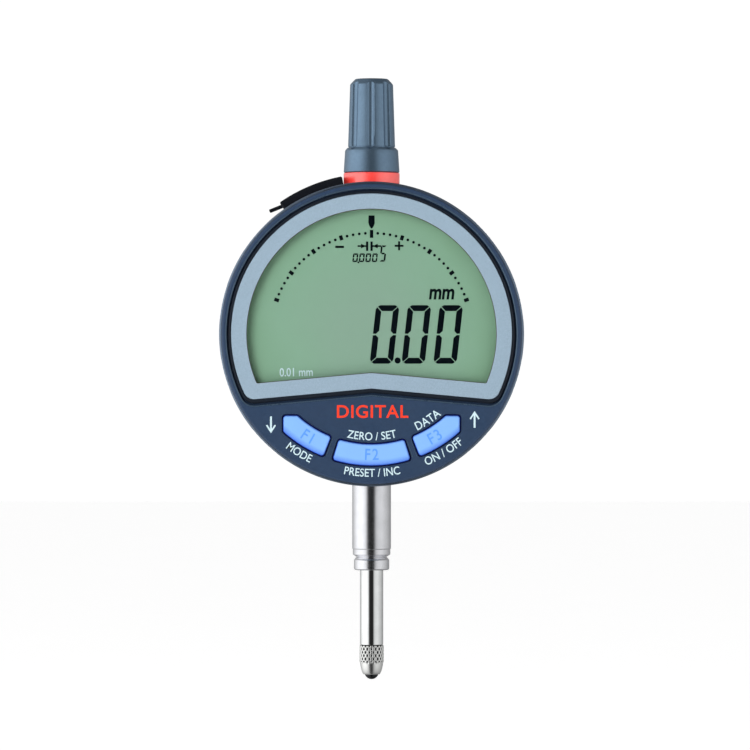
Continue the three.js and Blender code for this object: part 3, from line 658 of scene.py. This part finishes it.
def digit(builder, char, x, z, width, height, stroke, gap, corner):
    bars = segments(width, height, stroke, gap, corner)
    for name in DIGITS[char]:
        mark(builder, [(x + px + pz * math.tan(math.radians(SLANT)), z + pz) for px, pz in bars[name]])


def lettering(text, height, squeeze, bold, spacing):
    """Flat letter meshes from Blender's own font, centred, with capitals of the given height."""
    curve = bpy.data.curves.new("letters", "FONT")
    curve.body, curve.align_x, curve.align_y = text, "CENTER", "CENTER"
    curve.size, curve.offset, curve.space_character = 1.0, bold, spacing
    curve.extrude, curve.resolution_u = 0.01, 6
    made = bpy.data.objects.new("letters", curve)
    bpy.context.collection.objects.link(made)
    bpy.context.view_layer.update()
    mesh = bpy.data.meshes.new_from_object(made.evaluated_get(bpy.context.evaluated_depsgraph_get()))
    bpy.data.objects.remove(made)
    scale = height / LETTER_CAPITAL
    points = [(v.co.x * scale * squeeze, v.co.y * scale, v.co.z > 0) for v in mesh.vertices]
    middle = (min(z for _, z, _ in points) + max(z for _, z, _ in points)) / 2
    return [(x, z - middle, front) for x, z, front in points], [tuple(p.vertices) for p in mesh.polygons]


def write(builder, text, height, place, y, squeeze=0.8, spacing=1.0, bold=0.008):
    """Lettering on a front surface at y, with each point put where place says."""
    points, faces = lettering(text, height, squeeze, bold, spacing)
    verts = []
    for x, z, front in points:
        px, pz = place(x, z)
        verts.append((px, y - INK if front else y - 0.001, pz))
    builder.add(verts, faces)


def straight(cx, cz, degrees=0.0, slant=0.0):
    """Text along a straight line at an angle, with its letters leaning by slant."""
    a, lean = math.radians(degrees), math.tan(math.radians(slant))

    def place(x, z):
        along = x + z * lean
        return (cx + along * math.cos(a) - z * math.sin(a), cz + along * math.sin(a) + z * math.cos(a))
    return place


def along_arc(radius, degrees):
    """Text that reads left to right along the lower arc, with its middle at an angle from straight down."""
    def place(x, z):
        a = math.radians(-90 + degrees) + x / radius
        return ((radius - z) * math.cos(a), (radius - z) * math.sin(a))
    return place


def arrow(builder, x, z, up):
    """A vertical arrow with a slim open head."""
    half = [(0, 1.75), (1.02, 0.2), (0.76, 0.02), (0.19, 0.9), (0.19, -1.65)]
    loop = half + [(-px, pz) for px, pz in reversed(half[1:])]
    mark(builder, [(x + px, z + (pz if up else -pz)) for px, pz in loop], PRINT_Y)


def draw_scale(marks):
    """The dotted arc with a bar at every fifth division, and the pointer above its middle."""
    for i in range(SCALE_DIVISIONS + 1):
        degrees = 90 + SCALE_REACH - 2 * SCALE_REACH * i / SCALE_DIVISIONS
        x, z = polar(SCALE_R, degrees)
        if i == SCALE_DIVISIONS // 2:
            mark(marks, quad(-0.34, 0.34, SCALE_R - 0.95, SCALE_R + 0.65))
        elif i % 5 == 0:
            mark(marks, turned_loop(quad(-0.36, 0.36, -0.5, 0.5), degrees - 90, x, z))
        else:
            mark(marks, circle(0.29, 14, x, z))
    left = [(-0.62, 24.1), (-0.66, 22.6), (-0.42, 21.9), (-0.12, 21.45)]
    mark(marks, left + [(-x, z) for x, z in reversed(left)])


def draw_signs(marks):
    """The minus and plus signs, and two arrows that point at a pair of bars between them."""
    line_z, bar_half, plus_x, plus_z = 17.87, 0.23, 5.6, 17.92
    mark(marks, soften([(x, z, 0.12) for x, z in quad(-7.4, -5.6, 17.47, 17.93)]))
    mark(marks, quad(plus_x - 0.9, plus_x + 0.9, plus_z - 0.2, plus_z + 0.2))
    mark(marks, quad(plus_x - 0.2, plus_x + 0.2, 17.0, 18.85))
    for side in (-1, 1):
        bar_x = -0.45 + side * 0.45
        tip, head, tail = (bar_x + side * reach for reach in (0.25, 1.25, 1.95))
        mark(marks, quad(bar_x - bar_half, bar_x + bar_half, 16.9, 18.8))
        mark(marks, [(tip, line_z), (head, line_z + 0.48), (head, line_z - 0.48)])
        near, far = sorted((bar_x + side * 0.2, tail))
        mark(marks, quad(near, far, line_z - 0.17, line_z + 0.17))


def draw_reading(marks):
    """The small resolution figure under the signs and the large reading with its unit."""
    for i in range(4):
        digit(marks, "0", -3.3 + 1.32 * i, 15.5, 1.08, 1.78, 0.32, 0.05, 0.16)
    mark(marks, circle(0.2, 12, -2.68, 14.55))
    digit(marks, "5", 2.35, 16.35, 1.2, 3.3, 0.34, 0.08, 0.16)
    for i in range(3):
        digit(marks, "0", 2.64 + 6.47 * i, -0.1, 4.75, 11.9, 1.2, 0.22, 0.75)
    mark(marks, circle(0.63, 24, 5.3, -5.4))
    write(marks, "mm", 3.05, straight(14.3, 8.1, 0, SLANT), MARK_Y, bold=0.03)


def build_lcd_marks():
    marks = Builder()
    draw_scale(marks)
    draw_signs(marks)
    draw_reading(marks)
    marks.make("lcd_marks", "display_unit", "plastic_black", LCD_INK, weighted=False)
    note = Builder()
    write(note, "0.01 mm", 1.75, straight(-15.3, -7.75, 1.0), MARK_Y)
    note.make("resolution_note", "display_unit", "plastic_white", LABEL, weighted=False)


def build_labels():
    labels = Builder()
    for text, height, radius, degrees in (
        ("ZERO / SET", 1.65, 20.8, 0.2), ("DATA", 1.75, 20.85, 32.9), ("MODE", 1.65, 28.2, -31.4),
        ("PRESET / INC", 1.65, 28.2, 0.2), ("ON / OFF", 1.7, 28.15, 31.3),
    ):
        write(labels, text, height, along_arc(radius, degrees), PRINT_Y, 0.87)
    arrow(labels, -20.4, -18.4, False)
    arrow(labels, 20.9, -17.4, True)
    labels.make("panel_labels", "display_unit", "plastic_white", LABEL, weighted=False)
    word = Builder()
    write(word, "DIGITAL", 2.6, straight(0.1, -15.75), PRINT_Y, 1.02, 1.08, 0.015)
    word.make("panel_word", "display_unit", "ring_red", WORD_RED, weighted=False)


def build_keys():
    middle_r = (KEY_IN + KEY_OUT) / 2 - 0.1
    for side, body, angle in ((-1, "left_key", -31.5), (0, "middle_key", 0), (1, "right_key", 31.5)):
        number = side + 2
        cap = Builder().plate(key_outline(side), KEY_FRONT, KEY.y1, 0.42, steps=6)
        cap.make(f"key_cap_{number}", body, "key_blue", BLUE, [f"key_{number}"])
        # painted shade: the skirt under each key is dark blue so that the gap round the key reads dark
        skirt = Builder().plate(key_outline(side, 0.22, 0.7), POCKET_FLOOR - 0.9, POCKET_FLOOR, 0.05)
        skirt.make(f"key_skirt_{number}", body, "key_blue", GAP_SHADE_BLUE, weighted=False)
        legend = Builder()
        write(legend, f"F{number}", 2.35, along_arc(middle_r, angle), KEY_FRONT, 0.85, 1.2, 0.01)
        legend.make(f"key_legend_{number}", body, "key_blue", LEGEND, weighted=False)


# ---------- cap, neck and stem ----------
CAP_SIDES, FLUTES, FLUTE_PHASE = 320, 8, 93
CUTTER_R, CUTTER_END = 1.0, 39.05
CUTTER_AT_FOOT, CUTTER_AT_TOP, CUTTER_FOOT_Z, CUTTER_RISE = 5.38, 4.98, 38, 14.6
# Height and radius of the cap's outside: a skirt, a groove, then the tapered grip and its bevel.
CAP_OUTLINE = [
    (CAP.z0, 5.6), (CAP.z0 + 0.15, 5.74), (CAP.z0 + 0.3, 5.74), (37.82, 5.47), (37.97, 5.38), (38.42, 4.98),
    (38.46, 4.74), (38.62, 4.74), (38.66, 4.89), (51.35, 4.47), (51.5, 4.42), (52.45, 3.5), (CAP.z1, 3.3),
]
CAP_BORE = [(0.2, 51.0), (3.0, 51.0), (3.0, 37.4), (4.6, 37.4), (4.6, CAP.z0 + 0.2), (4.7, CAP.z0)]


def radius_at(outline, z):
    for (z0, r0), (z1, r1) in zip(outline, outline[1:]):
        if z <= z1:
            return r0 + (r1 - r0) * max(0, z - z0) / (z1 - z0)
    return outline[-1][1]


def fluted_radius(a, z):
    """The cap's radius at one place. Each flute is the path of a round cutter with a ball end."""
    base = radius_at(CAP_OUTLINE, z)
    centre = CUTTER_AT_FOOT + (CUTTER_AT_TOP - CUTTER_AT_FOOT) * (z - CUTTER_FOOT_Z) / CUTTER_RISE
    drop = max(0.0, CUTTER_END - z)
    reach = math.sqrt(CUTTER_R ** 2 - drop ** 2) if drop < CUTTER_R else 0.0
    turn = (a + math.radians(FLUTE_PHASE)) % (TAU / FLUTES)
    turn = min(turn, TAU / FLUTES - turn)
    across = centre * math.sin(turn)
    if not reach or across >= reach:
        return base
    return min(base, centre * math.cos(turn) - math.sqrt(reach ** 2 - across ** 2))


def build_cap():
    heights = {z for z, _ in CAP_OUTLINE}
    for start, step, count in ((37.9, 0.08, 30), (34, 0.6, 6), (40.5, 0.5, 22), (51.2, 0.1, 13)):
        heights.update(start + step * k for k in range(count))
    rows = [ring_row(r, z, CAP_SIDES) for r, z in CAP_BORE]
    for z in sorted(heights):
        ring = []
        for s in range(CAP_SIDES):
            a = TAU * s / CAP_SIDES
            r = fluted_radius(a, z)
            ring.append((r * math.cos(a), r * math.sin(a), z))
        rows.append(ring)
    rows.append(ring_row(3.1, CAP.z1, CAP_SIDES))
    Builder().skin(rows).make("fluted_cap", "top_cap", "cap_grey", CAP_PAINT, ["spindle_cap"], 40)


def build_neck_ring():
    bore = 4.56
    ring = [(bore, RING.z0, 0), (RING.r, RING.z0, 0.15), (RING.r, RING.z1, 0.12), (bore, RING.z1, 0)]
    Builder().lathe(soften(ring)).make("red_neck_ring", "housing", "ring_red", RED, ["neck_ring"])


def build_stem():
    """The 8 mm stem with a waist near its end, and the wiper collar below it."""
    bore, tip, waist, body, flange, flange_z = 2.9, 3.2, 3.87, 4.0, 4.9, -27.3
    stem = [(bore, STEM.z0, 0), (tip, STEM.z0, 0), (waist, -45.3, 0.18), (waist, -44.2, 0.05),
            (body, -44.05, 0.06), (body, flange_z, 0), (flange, flange_z, 0), (flange, STEM.z1, 0),
            (bore, STEM.z1, 0)]
    tube = Builder().lathe(soften(stem))
    tube.make("stem_tube", "housing", "steel_bright", STEM_STEEL, ["stem"])

    hole, rim, seat, seat_z = 2.47, 3.65, 2.85, -45.85
    collar = [(hole, COLLAR.z0, 0), (rim, COLLAR.z0, 0.4), (rim, -46.45, 0.25), (tip, seat_z, 0.1),
              (seat, seat_z, 0), (seat, COLLAR.z1, 0), (hole, COLLAR.z1, 0)]
    turned = Builder().lathe(soften(collar))
    turned.make("wiper_collar_turned", "housing", "steel_bright", STEM_STEEL, ["wiper_collar", "dust_wiper"])


def build_spindle():
    """The spindle rod, bored at its end for the contact point, and the ball at the tip."""
    hole, hole_top, radius = 1.05, -58, 2.4
    rod = [(0, hole_top, 0), (hole, hole_top, 0), (hole, SPINDLE.z0, 0), (radius, SPINDLE.z0, 0.15),
           (radius, SPINDLE.z1, 0.3), (0, SPINDLE.z1, 0)]
    shaft = Builder().lathe(soften(rod))
    shaft.make("spindle_rod", "measuring_spindle", "steel_bright", SPINDLE_STEEL, ["spindle"])

    turns = [math.pi * k / 24 for k in range(25)]
    profile = [(BALL_R * math.sin(a), BALL.z0 + BALL_R * (1 - math.cos(a))) for a in turns]
    ball = Builder().lathe(profile, sides=64)
    ball.make("contact_ball_polished", "measuring_spindle", "steel_dark", CARBIDE, ["contact_ball"])


def build_contact():
    """The contact point: a diamond-knurled grip above a polished nose that holds the ball."""
    sides, knurl_rows, fade = 360, 64, 0.25
    thread_top, ball_seat = -59.0, -68.0
    thread = [(0.2, thread_top), (1.0, thread_top), (1.0, CONTACT_TOP), (2.3, CONTACT_TOP)]
    profile = [(r, z, False) for r, z in thread]
    first, last = CONTACT_TOP - 0.05, KNURL_BOTTOM + 0.05
    profile += [(KNURL_R, first + (last - first) * k / knurl_rows, True) for k in range(knurl_rows + 1)]
    nose = [(2.36, -67.62), (2.34, -67.9), (2.27, -68.35), (2.17, -68.8), (2.04, -69.25), (1.88, -69.65),
            (1.72, -69.93), (1.66, -69.98), (1.53, -70.0), (1.53, ball_seat), (0.2, ball_seat)]
    profile += [(r, z, False) for r, z in nose]
    rings = []
    for radius, z, cut in profile:
        edge = min(1.0, (CONTACT_TOP - z) / fade + 0.15, (z - KNURL_BOTTOM) / fade + 0.15)
        ring = []
        for s in range(sides):
            a, r = TAU * s / sides, radius
            if cut:
                u, v = KNURL_STARTS * s / sides, (z - KNURL_BOTTOM) / KNURL_PITCH
                pit = (math.sin(math.pi * (u + v)) * math.sin(math.pi * (u - v))) ** 2
                r -= KNURL_DEPTH * pit + 0.05 * (1 - edge)
            ring.append((r * math.cos(a), r * math.sin(a), z))
        rings.append(ring)
    point = Builder().skin(rings)
    name, body = "knurled_contact", "measuring_spindle"
    point.make(name, body, "steel_bright", KNURL_STEEL, ["contact_point"], 50, False)


# ---------- housing, back and covers ----------
def screw_places():
    return [(sx, sz) for sx in (-SCREW_XZ, SCREW_XZ) for sz in (-SCREW_XZ, SCREW_XZ)]


def build_housing():
    """The body's shell, with its hub hole, neck socket, stem socket and the cup that holds the battery."""
    room_r, floor, hub = 28.2, -5.2, 7.48
    shell = [(hub, HOUSING.y0, 0.15), (HOUSING.x1, HOUSING.y0, 0.6), (HOUSING.x1, HOUSING.y1, 0.25),
             (room_r, HOUSING.y1, 0), (room_r, floor, 0), (hub, floor, 0)]
    body = Builder().lathe(soften(shell), "y", DISC_SIDES)
    neck_in, neck_out, neck_foot = 4.6, 5.6, 29.0
    neck = [(neck_in, neck_foot, 0), (neck_out, neck_foot, 0), (neck_out, HOUSING.z1, 0.2),
            (neck_in, HOUSING.z1, 0)]
    foot_in, foot_out, foot_top = 4.1, 5.2, -28.9
    foot = [(foot_in, HOUSING.z0, 0), (foot_out, HOUSING.z0, 0.3), (foot_out, foot_top, 0),
            (foot_in, foot_top, 0)]
    body.lathe(soften(neck), sides=96).lathe(soften(foot), sides=96)
    cup_in, cup_out, cup_floor, cup_rim = 5.95, 6.8, 2.2, 8.0
    cup = [(cup_in, cup_floor, 0), (cup_in, cup_rim, 0), (cup_out, cup_rim, 0.1), (cup_out, floor, 0),
           (0.01, floor, 0), (0.01, cup_floor, 0)]
    body.lathe(soften(cup), "y", 64, cx=DOOR_X)
    body.make("housing_shell", "housing", "navy_body", NAVY_BODY, ["main_housing"])


def build_rear_cover():
    """The back plate with sunk screw holes and a notched hole for the battery door, and the lug."""
    door_r, notch_r, notch_half, notches = 7.35, 8.5, 12, (-60, 120)
    door_hole = []
    for degrees in range(0, 360, 4):
        in_notch = min(angle_between(degrees, centre) for centre in notches) <= notch_half
        door_hole.append(polar(notch_r if in_notch else door_r, degrees, DOOR_X, 0))
    sinks = [circle(2.15, 32, sx, sz) for sx, sz in screw_places()]
    holes = [circle(1.05, 20, sx, sz) for sx, sz in screw_places()]
    plate_back, sink_floor = 11.4, 10.3
    rear = Builder()
    rim = circle(REAR.x1, DISC_SIDES)
    rear.plate(rim, sink_floor, plate_back, 0.55, [door_hole] + sinks, 0.12, steps=6)
    rear.plate(rim, REAR.y0, sink_floor + 0.05, 0.05, [door_hole] + holes)
    rear.plate(circle(9.5, 120), plate_back - 0.2, plate_back + 0.6, 0.3)
    lug_y, lug_half, root, root_half, bolt_r = 15.8, 2.5, plate_back - 0.2, 8, 3.25
    round_end = arc(lug_y, 0, REAR.y1 - lug_y - 0.01, -62, 62, 24)
    lug = [(root, -root_half)] + round_end + [(root, root_half)]
    rear.plate(lug, -lug_half, lug_half, 0.35, [circle(bolt_r, 48, lug_y, 0)], 0.25, axis="x")
    rear.make("rear_cover_shell", "housing", "navy_body", NAVY_BODY, ["back_cover"])


def build_battery_door():
    """The door: a slotted disc, the plug below it and two tabs that turn under the back plate."""
    disc_r, plug_r = 7.2, 6.1
    door = Builder()
    door.plate(circle(disc_r, 96, DOOR_X, 0), 9.95, 10.6, 0.05)
    slot = soften([(DOOR_X + x, z, 0.3) for x, z in quad(-4.5, 4.5, -0.7, 0.7)])
    door.plate(circle(disc_r, 96, DOOR_X, 0), 10.5, DOOR.y1, 0.2, [slot], 0.1)
    door.plate(circle(plug_r, 64, DOOR_X, 0), DOOR.y0, 10.0, 0.05)
    for side in (-1, 1):
        near, far = sorted((DOOR_X + side * 5.5, DOOR_X + side * 8.15))
        door.plate(quad(near, far, -1.4, 1.4), 8.35, 9.0, 0.1)
    door.make("battery_door", "battery_door", "navy_body", NAVY_BODY, ["battery_cover"])


def build_cover_screws():
    """Slotted screws: a head made of two half discs with the slot between them, on a shank."""
    head_r, shank_r, slot_angle = 1.95, 0.8, 7
    for number, (sx, sz) in enumerate(screw_places(), start=1):
        head = Builder().plate(circle(head_r, 48, sx, sz), 10.4, 11.06, 0.08)
        for side in (0, 180):
            half = arc(sx, sz, head_r, side + slot_angle, side + 180 - slot_angle, 22)
            head.plate(half, 11.0, 11.3, 0.1)
        head.plate(circle(shank_r, 20, sx, sz), 3.0, 10.45, 0.05)
        name, node = f"cover_screw_head_{number}", f"cover_screw_{number}"
        head.make(name, "housing", "steel_bright", SCREW_STEEL, [node])


def build_rubber_cover():
    """The rubber cover: a curved pad on the rim, a pull tab at its free end and the plug under it."""
    start, end, inner, outer, steps = 100.6, 125.0, 30.35, 32.95, 28
    corners = []
    for radius, first, last, corner in ((outer, start, end, 0.35), (inner, end, start, 0.08)):
        points = arc(0, 0, radius, first, last, steps)
        corners += [(x, z, corner if i in (0, steps) else 0) for i, (x, z) in enumerate(points)]
    cover = Builder().plate(soften(corners), RUBBER.y0, RUBBER.y1, 0.4)
    tab_x, tab_z = polar(32.2, end)
    tab = soften([(-2.75, -0.3, 0.15), (0.3, -0.3, 0), (0.3, 0.3, 0), (-2.75, 0.3, 0.15)])
    cover.plate(turned_loop(tab, 22, tab_x, tab_z), -2.4, 2.4, 0.12)
    plug = turned_loop(quad(29.7, 31.0, -4.9, 4.9), (start + end) / 2)
    cover.plate(plug, -2.95, 2.95, 0.2)
    cover.make("rubber_connector_cover", "socket_cover", "rubber_black", BLACK_RUBBER, ["connector_cover"])


def build_spring():
    """The return spring: a copy of the frame's spring mesh in screw steel, carried with the housing."""
    node = frame["nodes"]["return_spring"]
    mesh = node.data.copy()
    mesh.materials.clear()
    mesh.materials.append(SCREW_STEEL)
    piece = bpy.data.objects.new("return_spring_coil", mesh)
    piece.matrix_world = node.matrix_world
    bpy.context.collection.objects.link(piece)
    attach(piece, "housing")
    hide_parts("return_spring")
    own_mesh(piece)


# ---------- carried-over CAD nodes ----------
def finish_frame_nodes():
    looks = {
        "navy_body": NAVY_BODY, "window_frame": SILVER, "cap_grey": CAP_PAINT, "ring_red": RED,
        "key_blue": BLUE, "rubber_black": BLACK_RUBBER, "lcd_green": LCD_LOOK, "clear_window": GLASS,
        "steel_bright": SCREW_STEEL, "steel_dark": CARBIDE,
        "bronze": turned_steel("bronze_turned", linear(186, 150, 84), 0.3),
        "board_green": plastic("circuit_board", linear(28, 92, 58), 0.4, 0.5, 0.006, 0.2),
        "plastic_black": plastic("black_moulding", linear(26, 28, 32), 0.45, 0.2, 0.005, 0.1),
        "plastic_white": plastic("white_moulding", linear(216, 217, 212), 0.5, 0.25, 0.004, 0.04),
        "flex_film": plastic("amber_film", linear(186, 118, 44), 0.3, 0.4, 0.002, 0.1),
    }
    slots = {entry["node"]: entry["material_slot"] for entry in frame["record"]["subparts"]}
    for node, piece in frame["nodes"].items():
        piece.data.materials.clear()
        piece.data.materials.append(looks[slots[node]])
        piece.data.set_sharp_from_angle(angle=math.radians(28))


# ---------- studio ----------
# Brightness of the surroundings by bearing, in degrees right of the camera's side, which is dark.
STUDIO_RING = (
    (-180, 0.45), (-150, 0.5), (-115, 1.0), (-95, 1.35), (-60, 1.45), (-38, 1.15), (-30, 0.7), (-22, 0.05),
    (-10, 0.02), (10, 0.02), (15, 0.05), (22, 0.45), (30, 0.75), (40, 0.85), (64, 0.9), (80, 0.75),
    (105, 0.6), (130, 0.4), (150, 0.35), (180, 0.45),
)
SKY_STRENGTH, BACKDROP = 0.93, 1.1
FLOOR_Z, FLOOR_REACH, FLOOR_GLOW = -0.075, 3.0, 0.62


def paint_ring(ramp):
    """Puts the studio's brightness by bearing into a colour ramp, as half levels so that none passes 1."""
    stops = ramp.elements
    stops.remove(stops[0])
    stops[0].position = 1.0
    for degrees, level in STUDIO_RING:
        at_end = degrees == STUDIO_RING[-1][0]
        stop = stops[len(stops) - 1] if at_end else stops.new(0.5 + degrees / 360)
        stop.color = (level / 2, level / 2, level / 2, 1)


def build_world(scene):
    """A ring of light that dims towards the floor and the zenith, and plain white for the camera."""
    world = bpy.data.worlds.new("studio")
    scene.world = world
    world.use_nodes = True
    wiring = Wiring(world.node_tree)
    wiring.tree.nodes.clear()
    direction = wiring.node("TexCoord").outputs["Generated"]
    x, y, z = (wiring.part(direction, axis) for axis in "XYZ")
    bearing = wiring.sum("ARCTAN2", x, wiring.sum("MULTIPLY", y, -1))
    ring = wiring.node("ValToRGB", {"Fac": wiring.span(bearing, 0, 1, -math.pi, math.pi)})
    paint_ring(ring.color_ramp)
    dimmer = wiring.span(wiring.sum("ABSOLUTE", z), 2.0, 0.7, 0.35, 0.85)
    lit = wiring.node("VectorMath", operation="SCALE")
    wiring.put(lit, {0: ring.outputs["Color"], "Scale": dimmer})
    seen = wiring.node("LightPath").outputs["Is Camera Ray"]
    mix = wiring.node("Mix", data_type="RGBA")
    wiring.put(mix, {"Factor": seen, 6: lit.outputs[0], 7: (BACKDROP, BACKDROP, BACKDROP, 1)})
    sky = wiring.node("Background", {"Color": mix.outputs[2], "Strength": SKY_STRENGTH})
    wiring.node("OutputWorld", {"Surface": sky.outputs[0]})


def build_softbox(name, place, size, watts, aim=(0, 0, 0.035)):
    """A rectangular lamp that lights the object without showing in it or in the picture."""
    lamp = bpy.data.lights.new(name, "AREA")
    lamp.shape, lamp.size, lamp.size_y, lamp.energy = "RECTANGLE", size[0], size[1], watts
    made = bpy.data.objects.new(name, lamp)
    made.location = place
    made.rotation_euler = (Vector(aim) - Vector(place)).to_track_quat("-Z", "Y").to_euler()
    made.visible_camera = made.visible_glossy = False
    bpy.context.collection.objects.link(made)


def build_floor():
    floor = bpy.data.meshes.new("studio_floor")
    corners = quad(-FLOOR_REACH, FLOOR_REACH, -FLOOR_REACH, FLOOR_REACH)
    floor.from_pydata([(x, y, FLOOR_Z) for x, y in corners], [], [(0, 1, 2, 3)])
    made = bpy.data.objects.new("studio_floor", floor)
    bpy.context.collection.objects.link(made)
    glow = {"Emission_Color": (1, 1, 1, 1), "Emission_Strength": FLOOR_GLOW}
    pale = Look("pale_floor", (0.9, 0.9, 0.9, 1), 0.9, **glow)
    pale.vary(pale.noise(40.0), 0.01)
    floor.materials.append(pale.material)
    made.visible_glossy = False


def build_camera():
    """A long lens straight in front of the object, aimed a little below the middle of the body."""
    right, distance, below = 0.7, 1.0, 8.35
    camera = bpy.data.cameras.new("camera")
    camera.lens, camera.sensor_width = 233, 36
    camera.clip_start, camera.clip_end = 0.05, 20
    made = bpy.data.objects.new("camera", camera)
    made.location = (right * MM, -distance, (CENTRE_Z - below) * MM)
    made.rotation_euler = (math.pi / 2, 0, 0)
    bpy.context.collection.objects.link(made)
    bpy.context.scene.camera = made


build_case()
build_panel_lines()
build_grip()
build_window()
build_lcd_marks()
build_labels()
build_keys()
build_cap()
build_neck_ring()
build_stem()
build_spindle()
build_contact()
build_housing()
build_rear_cover()
build_battery_door()
build_cover_screws()
build_rubber_cover()
build_spring()
finish_frame_nodes()

bpy.context.scene.view_settings.view_transform = "Standard"
build_world(bpy.context.scene)
build_softbox("left_softbox", (-0.42, -0.72, 0.2), (0.4, 0.6), 4.3)
build_softbox("right_softbox", (0.66, -0.34, 0.16), (0.3, 0.6), 0.6)
build_floor()
build_camera()
